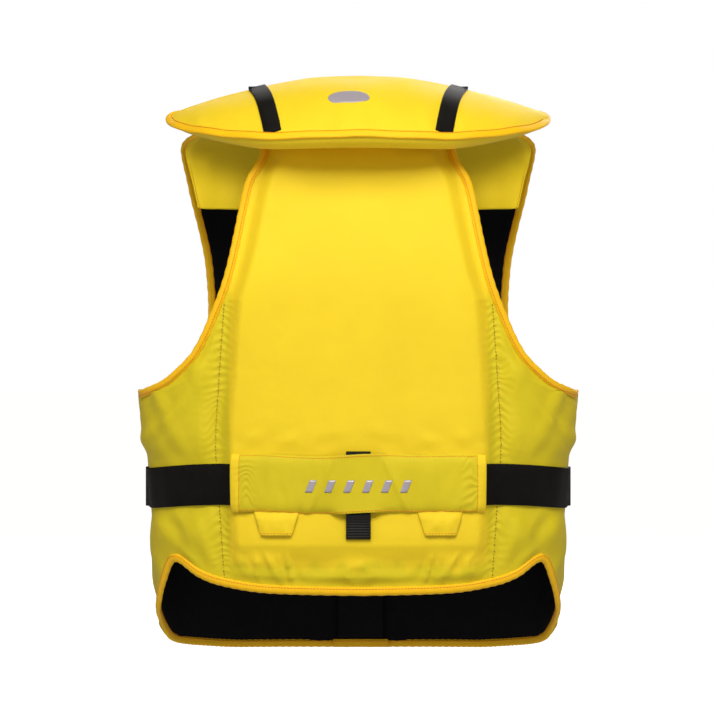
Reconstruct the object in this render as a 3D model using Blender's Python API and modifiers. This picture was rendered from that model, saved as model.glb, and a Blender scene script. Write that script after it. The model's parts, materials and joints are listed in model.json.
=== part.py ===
"""Inflatable life jacket: a waistcoat with a filled back, two fronts joined by a zip and a belt buckle,
a padded collar that lies folded back, and a gas inflation set inside the left front.

Metres, +Z up. The wearer faces +Y, so the wearer's right side is +X. The origin is on the centreline
at shoulder level, between the two shoulder seams.

Fabric pieces are patches of one torso surface. A place on it is an angle round the body (0 at the
middle of the back, 90 degrees at the right side seam, 180 at the zip) and a height, and every layer
is that surface pushed outwards by its own distance.
"""
import math

import bmesh
import bpy
from mathutils import Vector

OBJECT_NAME = "inflatable_life_jacket"

# ---------------------------------------------------------------- torso surface
ROUNDNESS = 2.5                 # exponent of the torso's superellipse sections
SHOULDER_START = -0.07          # height where the torso starts to close over the shoulders
SHOULDER_LINE = 0.04            # height value of the shoulder seam
NECK_HALF = 0.085               # inner end of the shoulder seam
SHOULDER_SLOPE = 0.12
HALF_WIDTHS = [(-0.62, 0.227), (-0.53, 0.2285), (-0.44, 0.235), (-0.35, 0.2425), (-0.304, 0.2475),
               (-0.20, 0.244), (-0.10, 0.235), (0.04, 0.226)]
BACK_DEPTHS = [(-0.62, 0.128), (-0.53, 0.126), (-0.40, 0.126), (-0.20, 0.130), (-0.07, 0.112), (0.04, 0.105)]
FRONT_DEPTHS = [(-0.62, 0.135), (-0.13, 0.135), (-0.07, 0.110), (0.04, 0.090)]
SIDE_ANGLE = math.radians(89.55)  # leaves 3 mm each side of the side seam
SEAM_TOP = SHOULDER_LINE - 0.0026  # and 3 mm each side of the shoulder seam
ROWS = 20                       # rows of every panel, so that its layers stay parallel
ROWS_BELOW = 8
ARMHOLE_ROWS = ROWS - ROWS_BELOW
BACK_COLUMNS = 18
FRONT_COLUMNS = 12

# ---------------------------------------------------------------- outlines
# armhole edges as (height, distance from the centreline)
BACK_ARMHOLE = [(-0.304, 0.260), (-0.282, 0.207), (-0.258, 0.184), (-0.219, 0.165), (-0.174, 0.1485),
                (-0.125, 0.1375), (-0.101, 0.1330), (-0.071, 0.1262), (-0.036, 0.1095), (0.0, 0.118),
                (0.04, 0.180)]
FRONT_ARMHOLE = [(-0.304, 0.260), (-0.270, 0.212), (-0.210, 0.180), (-0.162, 0.181), (-0.069, 0.199),
                 (-0.016, 0.207), (0.04, 0.185)]
FACING_ROW = 16                 # row of the front's grid where the inner facing starts
FRONT_NECK = [(-0.125, 0.012), (-0.09, 0.045), (-0.04, 0.072), (0.04, 0.086)]
BACK_NECK_HEIGHT = -0.002
BACK_NECK_HALF = 0.050          # inner end of the yoke at the back of the neck
YOKE_THICKNESS = 0.0035
UNDERARM = -0.304
# hem height by angle in degrees round the body
HEM = [(0, -0.530), (20, -0.528), (38, -0.517), (46, -0.509), (59, -0.490), (70, -0.520), (80, -0.548),
       (90, -0.561), (100, -0.572), (110, -0.584), (124, -0.600), (137, -0.607), (180, -0.6165)]
HEM_REACH = 0.16                # height over which the hem's shape dies out
BINDING_WIDTH = 0.008
BINDING_THICKNESS = 0.005
PRINCESS_SEAM = [(-0.53, 0.147), (-0.435, 0.1535), (-0.362, 0.158), (-0.289, 0.154), (-0.203, 0.148),
                 (-0.16, 0.125), (-0.06, 0.085)]

# ---------------------------------------------------------------- layers, outwards from the lining
SKIN = 0.001
EDGE_RISE = 0.0035              # outer shell at a bound edge
BACK_FILL = 0.012               # extra rise of the outer shell over the back insert
WING_FILL = 0.003
FRONT_EDGE_RISE = 0.0058
FRONT_FILL = 0.0275
LOBE_INNER = SKIN + 0.0006
LOBE_OUTER = 0.0055
BELT_GROOVE = 0.5               # share of the front fill pressed in under the belt
INSERT_BOTTOM = -0.470
INSERT_TOP = -0.095
INSERT_WIDTH = 0.70             # share of the way to the princess seams
INSERT_INNER = 0.0035
INSERT_OUTER = 0.0105

# ---------------------------------------------------------------- belt, sleeve and loops
BELT_HEIGHT = 0.046
BELT_THICKNESS = 0.002
BELT_BACK_Z = -0.407
BELT_SIDE_Z = -0.418
BELT_LIFT = 0.0040              # belt's inner face above the shell
BELT_FLAT_FROM = 0.085          # nearer the zip than this the front belt runs straight to the buckle
BELT_CURVED = 0.62              # share of the front belt that follows the shell
SLEEVE_HALF = 0.1395
SLEEVE_TOP = -0.373
SLEEVE_BOTTOM = -0.438
SLEEVE_LIFT = 0.0100
MARKING_HALF = 0.098
MARKING_HALF_HEIGHT = 0.013
TAPE_THICKNESS = 0.0005         # reflective tape
LOOP_HALF = 0.0137
LOOP_TOP = -0.3696
LOOP_BOTTOM = -0.465
LOOP_WEBBING = 0.0013
LOOP_SLOT = 0.0050
LOOP_FACE_TOP = -0.4415         # the hanging end below the sleeve stands out by LOOP_STEP
LOOP_STEP = 0.0003
TAB_X = 0.091
TAB_HALF_TOP = 0.023
TAB_HALF_BOTTOM = 0.017
TAB_BOTTOM = -0.462
TAB_THICKNESS = 0.0026

# ---------------------------------------------------------------- collar
COLLAR_HALF = 0.214
COLLAR_FOLD_Y = -0.085          # the line where the collar folds
COLLAR_FOLD_GAP = 0.002
COLLAR_SKIN = 0.0012
BLADDER_INSET = 0.013
COLLAR_CLEARANCE = 0.0115       # collar's underside above the torso surface
COLLAR_RIM_RADIUS = 0.0035
COLLAR_STRAP_WIDTH = 0.020
COLLAR_STRAP_THICKNESS = 0.0016
COLLAR_STRAP_X = (0.093, 0.118)  # at the rim and at the fold
PATCH_CENTRE = (-0.010, -0.128)
PATCH_HALF = (0.024, 0.016)

# ---------------------------------------------------------------- zip
CHEST_PATCH_X = (0.120, 0.052)
CHEST_PATCH_Z = (-0.215, -0.165)
ZIP_INSET = 0.016               # edge of a front from the zip's middle
ZIP_TOP = -0.135
ZIP_BOTTOM = -0.600
ZIP_Y = 0.1385
TOOTH_PITCH = 0.012
TOOTH_REACH = 0.0023
TOOTH_TIP = 0.0010              # half the free slot between the two rows of teeth
TOOTH_SPINE = 0.0008
CHAIN_THICKNESS = 0.0024
ZIP_TAPE_X = 0.0099
ZIP_TAPE_SIZE = (0.0108, 0.0010)
SLIDER_Z = -0.1285              # slider's middle when the zip is closed
SLIDER_PLATE = (0.0090, 0.0012, 0.012)
SLIDER_POST = (0.0012, 0.0050, 0.0036)
SLIDER_EAR = (0.0022, 0.0030, 0.0030)
PULL_SIZE = (0.0070, 0.0016, 0.0300)

# ---------------------------------------------------------------- buckle and inflation set
BUCKLE_Y = 0.1640
BUCKLE_Z = -0.418
BELT_END_RIGHT = 0.004          # where each half of the belt ends, from the middle
BELT_END_LEFT = 0.066
MALE_X = 0.046
MALE_SIZE = (0.026, 0.0110, 0.058)
MALE_CHANNEL = (0.05, 0.0034, 0.0500)
TONGUE_X = 0.016
TONGUE_SIZE = (0.0360, 0.0040, 0.034)
FEMALE_X = -0.041
FEMALE_SIZE = (0.044, 0.0132, 0.056)
POCKET_SHIFT = 0.006
POCKET_SIZE = (0.044, 0.0054, 0.0354)
CLAMP_X = -0.0646
CLAMP_SIZE = (0.0024, 0.006, 0.046)
CYLINDER_X = -0.118
CYLINDER_TOP = -0.180
CYLINDER_LENGTH = 0.092
CYLINDER_RADIUS = 0.0090
INFLATOR_Y = 0.1435
INFLATOR_SIZE = (0.026, 0.0165, 0.036)
LEVER_SIZE = (0.0070, 0.0060, 0.034)
KNOB_SIZE = (0.0120, 0.0080, 0.018)
ORAL_X = -0.072
ORAL_Y = 0.148
ORAL_TOP = -0.172
ORAL_LENGTH = 0.110
ORAL_RADIUS = 0.0042
CAP_PROFILE = [(0.0, 0.0120), (0.0068, 0.0110), (0.0068, -0.0080), (0.0048, -0.0080), (0.0048, 0.0090),
               (0.0, 0.0090)]
FLANGE_SIZE = (0.020, 0.0120, 0.008)
WHISTLE_X = -0.150
WHISTLE_Y = 0.1350
WHISTLE_BOTTOM = -0.300
WHISTLE_SIZE = (0.0160, 0.0090, 0.037)
HOLDER_SIZE = (0.0210, 0.0130, 0.022)
HOLDER_FLOOR = 0.0015
GAP = 0.0004


# ================================================================ small helpers
def along(points, value):
    """Smooth curve through (position, value) points, level past its ends."""
    if value <= points[0][0]:
        return points[0][1]
    if value >= points[-1][0]:
        return points[-1][1]
    for index in range(len(points) - 1):
        if value <= points[index + 1][0]:
            break
    (x0, y0), (x1, y1) = points[index], points[index + 1]
    step = x1 - x0
    slope = (y1 - y0) / step
    start = end = slope
    if index > 0:
        start = level_mean(slope, (y0 - points[index - 1][1]) / (x0 - points[index - 1][0]))
    if index + 2 < len(points):
        end = level_mean(slope, (points[index + 2][1] - y1) / (points[index + 2][0] - x1))
    t = (value - x0) / step
    return ((2 * t**3 - 3 * t**2 + 1) * y0 + (t**3 - 2 * t**2 + t) * step * start
            + (3 * t**2 - 2 * t**3) * y1 + (t**3 - t**2) * step * end)


def level_mean(a, b):
    """Mean of two slopes that never lets the curve overshoot its points."""
    return 0.0 if a * b <= 0 else 2 * a * b / (a + b)


def smoothstep(low, high, value):
    t = min(1.0, max(0.0, (value - low) / (high - low)))
    return t * t * (3 - 2 * t)


def ramp(value, low, high):
    return min(1.0, max(0.0, (value - low) / (high - low)))


def mix(a, b, t):
    return a + (b - a) * t


def level(out):
    """A layer that keeps one distance from the torso surface."""
    return lambda angle, height: out


def signed_power(value, power):
    return math.copysign(abs(value) ** power, value)


def mirrored(place):
    """The same patch on the other side of the body, still facing out."""
    def other(u, w):
        point = place(-u, w)
        return Vector((-point.x, point.y, point.z))
    return other


def material(name, colour, roughness, metallic=0.0):
    made = bpy.data.materials.new(name)
    made.use_nodes = True
    shader = made.node_tree.nodes["Principled BSDF"]
    shader.inputs["Base Color"].default_value = (*colour, 1.0)
    shader.inputs["Roughness"].default_value = roughness
    shader.inputs["Metallic"].default_value = metallic
    return made


class Finish:
    """Materials shared by the pieces, by name."""
    colours = {
        "yellow_fabric": ((0.95, 0.70, 0.04), 0.65, 0.0),
        "orange_binding": ((0.95, 0.60, 0.02), 0.6, 0.0),
        "black_webbing": ((0.01, 0.01, 0.01), 0.6, 0.0),
        "black_lining": ((0.012, 0.012, 0.02), 0.75, 0.0),
        "reflective_tape": ((0.42, 0.40, 0.45), 0.35, 0.3),
        "white_foam": ((0.85, 0.85, 0.82), 0.8, 0.0),
        "bladder_film": ((0.9, 0.45, 0.05), 0.5, 0.0),
        "black_plastic": ((0.02, 0.02, 0.02), 0.4, 0.0),
        "red_plastic": ((0.7, 0.03, 0.02), 0.4, 0.0),
        "steel": ((0.6, 0.6, 0.62), 0.3, 1.0),
        "white_plastic": ((0.8, 0.8, 0.78), 0.4, 0.0),
    }
    made = {}

    @classmethod
    def get(cls, name):
        if name not in cls.made:
            cls.made[name] = material(name, *cls.colours[name])
        return cls.made[name].copy()


def new_object(name, mesh, finish, collection="parts"):
    piece = bpy.data.objects.new(name, mesh)
    mesh.materials.append(Finish.get(finish))
    COLLECTIONS[collection].objects.link(piece)
    return piece


def to_mesh(bm, name):
    bmesh.ops.recalc_face_normals(bm, faces=bm.faces)
    if bm.calc_volume(signed=True) < 0:
        bmesh.ops.reverse_faces(bm, faces=bm.faces)
    mesh = bpy.data.meshes.new(name)
    bm.to_mesh(mesh)
    bm.free()
    return mesh


def smooth_shade(piece, degrees=40):
    piece.data.shade_smooth()
    piece.data.set_sharp_from_angle(angle=math.radians(degrees))


def sheet(name, columns, rows, place, thickness, finish, side=-1.0):
    """A fabric sheet: a grid laid on place(u, w), u from -1 to 1 and w from 0 to 1, given thickness."""
    bm = bmesh.new()
    bmesh.ops.create_grid(bm, x_segments=columns, y_segments=rows, size=1.0)
    for vertex in bm.verts:
        vertex.co = place(vertex.co.x, 0.5 * (vertex.co.y + 1))
    mesh = bpy.data.meshes.new(name)
    bm.to_mesh(mesh)
    bm.free()
    piece = new_object(name, mesh, finish)
    solid = piece.modifiers.new("thickness", "SOLIDIFY")
    solid.thickness = thickness
    solid.offset = side
    smooth_shade(piece)
    return piece


def pad(name, columns, rows, outer, inner, finish):
    """A closed pad between two surfaces, each a function of (u, w)."""
    bm = bmesh.new()
    bmesh.ops.create_grid(bm, x_segments=columns, y_segments=rows, size=1.0)
    base = list(bm.verts)
    raised = bmesh.ops.extrude_face_region(bm, geom=bm.faces[:], use_keep_orig=True)["geom"]
    for item in raised:
        if isinstance(item, bmesh.types.BMVert):
            item.co = outer(item.co.x, 0.5 * (item.co.y + 1))
    for vertex in base:
        vertex.co = inner(vertex.co.x, 0.5 * (vertex.co.y + 1))
    piece = new_object(name, to_mesh(bm, name), finish)
    smooth_shade(piece)
    return piece


def box(name, centre, size, finish, collection="parts", bevel=0.0):
    bm = bmesh.new()
    bmesh.ops.create_cube(bm, size=1.0)
    for vertex in bm.verts:
        vertex.co = Vector([c * s for c, s in zip(vertex.co, size)])
    piece = new_object(name, to_mesh(bm, name), finish, collection)
    piece.location = centre
    if bevel:
        rounding = piece.modifiers.new("rounding", "BEVEL")
        rounding.width = bevel
        rounding.segments = 2
    if collection == "cutters":
        piece.hide_render = True
        piece.display_type = "WIRE"
    return piece


def cut(piece, cutter, operation="DIFFERENCE"):
    boolean = piece.modifiers.new(operation.lower(), "BOOLEAN")
    boolean.operation = operation
    boolean.object = cutter


def turned(name, profile, centre, finish, steps=20):
    """A turned solid about Z: profile is (radius, height) from top to bottom."""
    mesh = bpy.data.meshes.new(name)
    points = [(radius, 0.0, height) for radius, height in profile]
    mesh.from_pydata(points, [(i, i + 1) for i in range(len(points) - 1)], [])
    piece = new_object(name, mesh, finish)
    screw = piece.modifiers.new("turn", "SCREW")
    screw.steps = steps
    screw.render_steps = steps
    screw.use_merge_vertices = True
    screw.merge_threshold = 0.0001
    piece.location = centre
    return piece


def tube(name, points, radius, finish, resolution=2):
    """A round rod or cord along a smooth open line of points."""
    curve = bpy.data.curves.new(name, "CURVE")
    curve.dimensions = "3D"
    curve.bevel_depth = radius
    curve.bevel_resolution = resolution
    curve.use_fill_caps = True
    spline = curve.splines.new("POLY")
    spline.points.add(len(points) - 1)
    for target, point in zip(spline.points, points):
        target.co = (*point, 1.0)
    piece = bpy.data.objects.new(name, curve)
    curve.materials.append(Finish.get(finish))
    COLLECTIONS["parts"].objects.link(piece)
    return piece


# ================================================================ torso surface
def torso_base(angle, height):
    """The lining's inner face, before any layer."""
    turn = math.pi / 2 * ramp(height, SHOULDER_START, SHOULDER_LINE)
    depth_share = math.cos(turn)
    half_width = along(HALF_WIDTHS, height)
    depths = BACK_DEPTHS if math.cos(angle) > 0 else FRONT_DEPTHS
    depth = along(depths, height) * depth_share
    x = half_width * signed_power(math.sin(angle), 2 / ROUNDNESS)
    y = -depth * signed_power(math.cos(angle), 2 / ROUNDNESS)
    z = min(height, SHOULDER_START) + (0.0 - SHOULDER_START) * math.sin(turn)
    z -= SHOULDER_SLOPE * max(0.0, abs(x) - NECK_HALF) * (1 - depth_share)
    return Vector((x, y, z))


def torso(angle, height, out=0.0):
    """A point on the torso, pushed out along the surface normal."""
    step = 0.0005
    across = torso_base(angle + step, height) - torso_base(angle - step, height)
    top = min(height + step, SHOULDER_LINE)
    upward = torso_base(angle, top) - torso_base(angle, top - 2 * step)
    normal = across.cross(upward).normalized()
    return torso_base(angle, height) + normal * out


def angle_of(x, height):
    """Angle from the middle of the back at which the torso is x wide."""
    share = min(1.0, x / along(HALF_WIDTHS, height))
    return math.asin(share ** (ROUNDNESS / 2))


def row_height(share, bottom, top):
    """Heights of a panel's rows: ROWS_BELOW of them under the underarm, the rest above it."""
    turn = ROWS_BELOW / ROWS
    if share <= turn:
        return mix(bottom, UNDERARM, share / turn)
    return mix(UNDERARM, top, (share - turn) / (1 - turn))


def back_edge_angle(height, inset=0.0):
    if height <= UNDERARM:
        return SIDE_ANGLE
    return min(SIDE_ANGLE, angle_of(along(BACK_ARMHOLE, height) - inset, height))


def front_edge_angle(height, inset=0.0):
    if height <= UNDERARM:
        return math.pi - SIDE_ANGLE
    return math.pi - min(SIDE_ANGLE, angle_of(along(FRONT_ARMHOLE, height) - inset, height))


def zip_edge_angle(height, inset):
    x = max(inset, along(FRONT_NECK, height)) if height > FRONT_NECK[0][0] else inset
    return math.pi - angle_of(x, height)


def hem_shift(angle, height):
    """How much a height near the hem is moved so that the lowest row follows the hem."""
    hem = along(HEM, abs(math.degrees(angle)))
    fade = 1 - smoothstep(0.0, HEM_REACH, height - HEM[0][1])
    return (hem - HEM[0][1]) * fade


# ================================================================ layer heights
def back_rise(angle, height):
    """Outer face of the back shell above the torso surface."""
    seam = angle_of(along(PRINCESS_SEAM, height), height)
    edge = back_edge_angle(height)
    centre = 1 - smoothstep(0.86, 1.06, abs(angle) / seam)
    filled = smoothstep(-0.515, -0.47, height) * (1 - smoothstep(-0.07, -0.01, height))
    wing = 1 - smoothstep(0.75, 1.0, abs(angle) / edge)
    wing *= 1 - smoothstep(-0.07, -0.01, height)
    return EDGE_RISE + BACK_FILL * centre * filled + WING_FILL * wing


def front_rise(angle, height):
    """Outer face of a front shell above the torso surface."""
    outer = front_edge_angle(height)
    inner = zip_edge_angle(height, ZIP_INSET)
    share = ramp(abs(angle), outer, inner)
    across = smoothstep(0.0, 0.42, share) * (1 - max(0.0, 2 * share - 1) ** 6)
    upward = smoothstep(-0.600, -0.520, height) * (1 - smoothstep(-0.15, -0.02, height))
    groove = 1 - BELT_GROOVE * (1 - smoothstep(0.034, 0.075, abs(height - BELT_SIDE_Z)))
    return FRONT_EDGE_RISE + FRONT_FILL * across * upward * groove


# ================================================================ back
def back_place(lift, inset_side, inset_hem, top):
    """Patch of the whole back, from the hem to the back of the neck."""
    def place(u, w):
        height = row_height(w, HEM[0][1] + inset_hem, top)
        angle = u * back_edge_angle(height, inset_side)
        height += hem_shift(angle, height)
        return torso(angle, height, lift(angle, height))
    return place


def make_back():
    inset = BINDING_WIDTH + 2 * GAP
    for name, lift, finish in (("back_outer_shell", back_rise, "yellow_fabric"),
                               ("back_lining", level(SKIN), "black_lining")):
        place = back_place(lift, inset, inset, BACK_NECK_HEIGHT)
        sheet(name, BACK_COLUMNS, ROWS, place, SKIN, finish)

    def insert(lift):
        def place(u, w):
            height = mix(INSERT_BOTTOM, INSERT_TOP, w)
            angle = u * INSERT_WIDTH * angle_of(along(PRINCESS_SEAM, height), height)
            return torso(angle, height, lift)
        return place
    pad("back_insert_pad", 12, 14, insert(INSERT_OUTER), insert(INSERT_INNER), "white_foam")
    for name, side in (("left", -1), ("right", 1)):
        armhole = armhole_strip(back_edge_angle, BACK_NECK_HEIGHT)
        place = armhole if side > 0 else mirrored(armhole)
        sheet(f"back_armhole_binding_{name}", 1, ARMHOLE_ROWS, place, BINDING_THICKNESS, "orange_binding")
        yoke = shoulder_yoke_place()
        place = yoke if side > 0 else mirrored(yoke)
        sheet(f"shoulder_yoke_{name}", 5, 5, place, YOKE_THICKNESS, "yellow_fabric")

    def hem(u, w):
        height = HEM[0][1] + (BINDING_WIDTH - GAP) * w
        angle = u * SIDE_ANGLE
        height += hem_shift(angle, height)
        return torso(angle, height, BINDING_THICKNESS)
    sheet("back_hem_binding", BACK_COLUMNS, 1, hem, BINDING_THICKNESS, "orange_binding")


def armhole_strip(edge, top):
    """Binding from the underarm up an armhole, on the panel's own rows."""
    def place(u, w):
        height = mix(UNDERARM, top, w)
        inner = edge(height, BINDING_WIDTH)
        outer = edge(height, 0.0)
        lifted = 0.0015 + 0.0050 * (1 - w) ** 4 * max(0.0, 0.5 * (u + 1))
        return torso(mix(inner, outer, 0.5 * (u + 1)), min(height + lifted, top), BINDING_THICKNESS)
    return place


def shoulder_yoke_place():
    """Fabric from the back of the neck over to the shoulder seam."""
    start = BACK_NECK_HEIGHT + 0.003
    end = SEAM_TOP

    def place(u, w):
        height = mix(start, end, w)
        inner = angle_of(mix(BACK_NECK_HALF, NECK_HALF, w), height)
        outer = angle_of(along(BACK_ARMHOLE, height), height)
        return torso(mix(inner, outer, 0.5 * (u + 1)), height, EDGE_RISE)
    return place


# ================================================================ belt and what hangs from it
def belt_middle(angle):
    share = smoothstep(30, 85, abs(math.degrees(angle)))
    return mix(BELT_BACK_Z, BELT_SIDE_Z, share)


def make_belt_back():
    def belt(u, w):
        angle = u * SIDE_ANGLE
        height = belt_middle(angle) + (w - 0.5) * BELT_HEIGHT
        return torso(angle, height, back_rise(angle, belt_middle(angle)) + BELT_LIFT)
    sheet("belt_back_webbing", 30, 1, belt, BELT_THICKNESS, "black_webbing", side=1.0)

    def sleeve(u, w):
        x = u * SLEEVE_HALF
        height = mix(SLEEVE_BOTTOM, SLEEVE_TOP, w)
        angle = math.copysign(angle_of(abs(x), height), x)
        arch = 1 - abs(2 * w - 1) ** 8
        over_loop = 1 - smoothstep(0.016, 0.028, abs(x))
        lift = mix(2 * GAP, SLEEVE_LIFT, max(arch, over_loop))
        return torso(angle, height, back_rise(angle, height) + lift)
    sheet("belt_sleeve", 24, 8, sleeve, SKIN, "yellow_fabric", side=1.0)

    def marking(u, w):
        x = u * MARKING_HALF
        height = BELT_BACK_Z + mix(-MARKING_HALF_HEIGHT, MARKING_HALF_HEIGHT, w)
        angle = math.copysign(angle_of(abs(x), height), x)
        return torso(angle, height, back_rise(angle, height) + SLEEVE_LIFT + SKIN + GAP)
    sheet("sleeve_reflective_bar", 14, 1, marking, TAPE_THICKNESS, "reflective_tape", side=1.0)

    for name, side in (("left", -1), ("right", 1)):
        sheet(f"crotch_strap_loop_{name}", 5, 3, tab_place(side), TAB_THICKNESS, "yellow_fabric", side=1.0)


def tab_place(side):
    """A fabric loop below the sleeve, wider at its top."""
    def place(u, w):
        height = mix(TAB_BOTTOM, SLEEVE_BOTTOM - 0.0008, w)
        x = side * TAB_X + u * mix(TAB_HALF_BOTTOM, TAB_HALF_TOP, w)
        angle = math.copysign(angle_of(abs(x), height), x)
        return torso(angle, height, back_rise(angle, height) + 3 * GAP)
    return place


def loop_outer_y():
    """Outer face of the centre webbing loop, which is flat."""
    heights = [mix(LOOP_BOTTOM, LOOP_TOP, share / 8) for share in range(9)]
    inner = min(torso(0.0, height, back_rise(0.0, height)).y for height in heights) - GAP
    return inner - 2 * LOOP_WEBBING - LOOP_SLOT


def make_centre_loop():
    outer_y = loop_outer_y()
    depth = 2 * LOOP_WEBBING + LOOP_SLOT
    middle = Vector((0, outer_y + depth / 2, (LOOP_TOP + LOOP_BOTTOM) / 2))
    tall = LOOP_TOP - LOOP_BOTTOM
    loop = box("back_webbing_loop", middle, (2 * LOOP_HALF, depth, tall), "black_webbing")
    slot = box("back_webbing_loop_slot", middle, (4 * LOOP_HALF, LOOP_SLOT, tall - 2 * LOOP_WEBBING),
               "black_webbing", "cutters")
    cut(loop, slot)
    covered = LOOP_TOP + LOOP_SLOT - LOOP_FACE_TOP
    recess = box("back_webbing_loop_recess", (0, outer_y, LOOP_FACE_TOP + covered / 2),
                 (4 * LOOP_HALF, 2 * LOOP_STEP, covered), "black_webbing", "cutters")
    cut(loop, recess)


# ================================================================ collar
def collar_ridge(x):
    return 0.051 - 0.8 * x * x


def collar_rim_z(x):
    return -0.028 + 0.030 * (x / COLLAR_HALF) ** 2


def collar_front_y(x):
    return -0.058 + 0.088 * smoothstep(0.045, 0.125, abs(x))


def collar_rear_y(x):
    share = min(1.0, abs(x) / COLLAR_HALF)
    return collar_front_y(x) - 0.012 - 0.130 * max(0.0, 1 - share ** 2.4) ** 0.6


def shoulder_height(x, y):
    """Height of the shoulders under the collar."""
    across = max(0.05, 1 - (abs(x) / HALF_WIDTHS[-1][1]) ** ROUNDNESS) ** (1 / ROUNDNESS)
    share = min(1.0, abs(y) / (BACK_DEPTHS[-2][1] * across))
    slope = SHOULDER_SLOPE * max(0.0, abs(x) - NECK_HALF) * (1 - share)
    return SHOULDER_START * (1 - math.sqrt(1 - share * share)) - slope


def collar_share(x, y):
    """0 at the rear rim, 1 at the neck edge."""
    rear = collar_rear_y(x)
    return ramp(y, rear, collar_front_y(x))


def collar_top(x, y):
    share = collar_share(x, y)
    swell = math.sin(math.pi / 2 * min(1.0, share / 0.8)) ** 0.9
    fall = 0.010 * smoothstep(0.8, 1.0, share)
    free = collar_rim_z(x) + (collar_ridge(x) - collar_rim_z(x) - fall) * swell
    return max(free, collar_under(x, y) + 0.004 * min(1.0, share / 0.2))


def collar_under(x, y):
    share = collar_share(x, y)
    belly = 0.011 * math.sin(math.pi * min(1.0, share / 0.6)) * (1 - (x / COLLAR_HALF) ** 2)
    climb = (collar_ridge(x) - collar_rim_z(x)) * 0.80 * smoothstep(0.25, 1.0, share)
    free = collar_rim_z(x) - belly + climb - 0.002
    return max(free, shoulder_height(x, y) + COLLAR_CLEARANCE)


def collar_flap_half():
    """Half-width of the part behind the fold line."""
    x = COLLAR_HALF
    while collar_rear_y(x) > COLLAR_FOLD_Y - 0.014:
        x -= 0.001
    return x


def flap_place(surface, margin, shift):
    half = collar_flap_half()

    def place(u, w):
        x = u * half
        low = collar_rear_y(x) + margin
        high = COLLAR_FOLD_Y - COLLAR_FOLD_GAP
        y = mix(low, max(high, low), w)
        return Vector((x, y, surface(x, y) + shift))
    return place


def roll_place(surface, margin, shift):
    half = COLLAR_HALF - 0.004

    def place(u, w):
        x = u * half
        low = max(collar_rear_y(x) + margin, COLLAR_FOLD_Y + COLLAR_FOLD_GAP)
        y = mix(low, collar_front_y(x) - 0.001, w)
        return Vector((x, y, surface(x, y) + shift))
    return place


def make_collar():
    margin = 2 * COLLAR_RIM_RADIUS + GAP
    sheet("collar_upper_shell", 18, 6, flap_place(collar_top, margin, 0.0), COLLAR_SKIN, "yellow_fabric")
    sheet("collar_under_shell", 18, 6, flap_place(collar_under, margin, 0.0), COLLAR_SKIN,
          "yellow_fabric", side=1.0)
    clear = COLLAR_SKIN + 0.0045
    bladder = (flap_place(collar_top, BLADDER_INSET, -clear), flap_place(collar_under, BLADDER_INSET, clear))
    pad("collar_bladder", 16, 5, *bladder, "bladder_film")
    pad("collar_neck_roll", 26, 5, roll_place(collar_top, 0.0, 0.0), roll_place(collar_under, 0.0, 0.0),
        "yellow_fabric")
    half = collar_flap_half()
    count = 34
    rim = []
    for index in range(count + 1):
        x = half * (2 * index / count - 1)
        y = collar_rear_y(x) + COLLAR_RIM_RADIUS
        rim.append((x, y, 0.5 * (collar_top(x, y) + collar_under(x, y))))
    tube("collar_rim_binding", rim, COLLAR_RIM_RADIUS, "orange_binding")
    for name, side in (("left", -1), ("right", 1)):
        strap = collar_strap_place(side)
        sheet(f"collar_strap_{name}", 2, 8, strap, COLLAR_STRAP_THICKNESS, "black_webbing", side=1.0)

    def oval(u, w):
        x = PATCH_CENTRE[0] + PATCH_HALF[0] * u
        y = PATCH_CENTRE[1] + PATCH_HALF[1] * (2 * w - 1)
        return Vector((x, y, collar_top(x, y) + 4 * GAP))
    sheet("collar_reflective_patch", 6, 4, oval, TAPE_THICKNESS, "reflective_tape", side=1.0)


def collar_strap_place(side):
    """Webbing over the collar that leans towards the middle at the rear."""
    def place(u, w):
        middle = side * mix(*COLLAR_STRAP_X, w)
        x = middle + u * COLLAR_STRAP_WIDTH / 2
        low = collar_rear_y(x) + 2 * COLLAR_RIM_RADIUS + 0.002
        y = mix(low, COLLAR_FOLD_Y - COLLAR_FOLD_GAP, w)
        return Vector((x, y, collar_top(x, y) + 4 * GAP))
    return place


# ================================================================ fronts
def front_place(lift, inset_side, inset_zip, bottom_inset, top):
    """Patch of the right front, from the side seam or armhole to the zip or neck."""
    def place(u, w):
        height = row_height(w, HEM[0][1] + bottom_inset, top)
        outer = front_edge_angle(height, inset_side)
        inner = zip_edge_angle(height, inset_zip)
        angle = mix(outer, inner, 0.5 * (u + 1))
        height += hem_shift(angle, height)
        return torso(angle, height, lift(angle, height))
    return place


def reversed_across(place):
    return lambda u, w: place(-u, w)


def both_sides(place):
    return (("right", place), ("left", mirrored(place)))


def part_of(place, low, high, left, right):
    """Some rows and columns of a panel's own grid."""
    def share(u, w):
        return place(mix(left, right, 0.5 * (u + 1)), mix(low, high, w))
    return share


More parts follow.
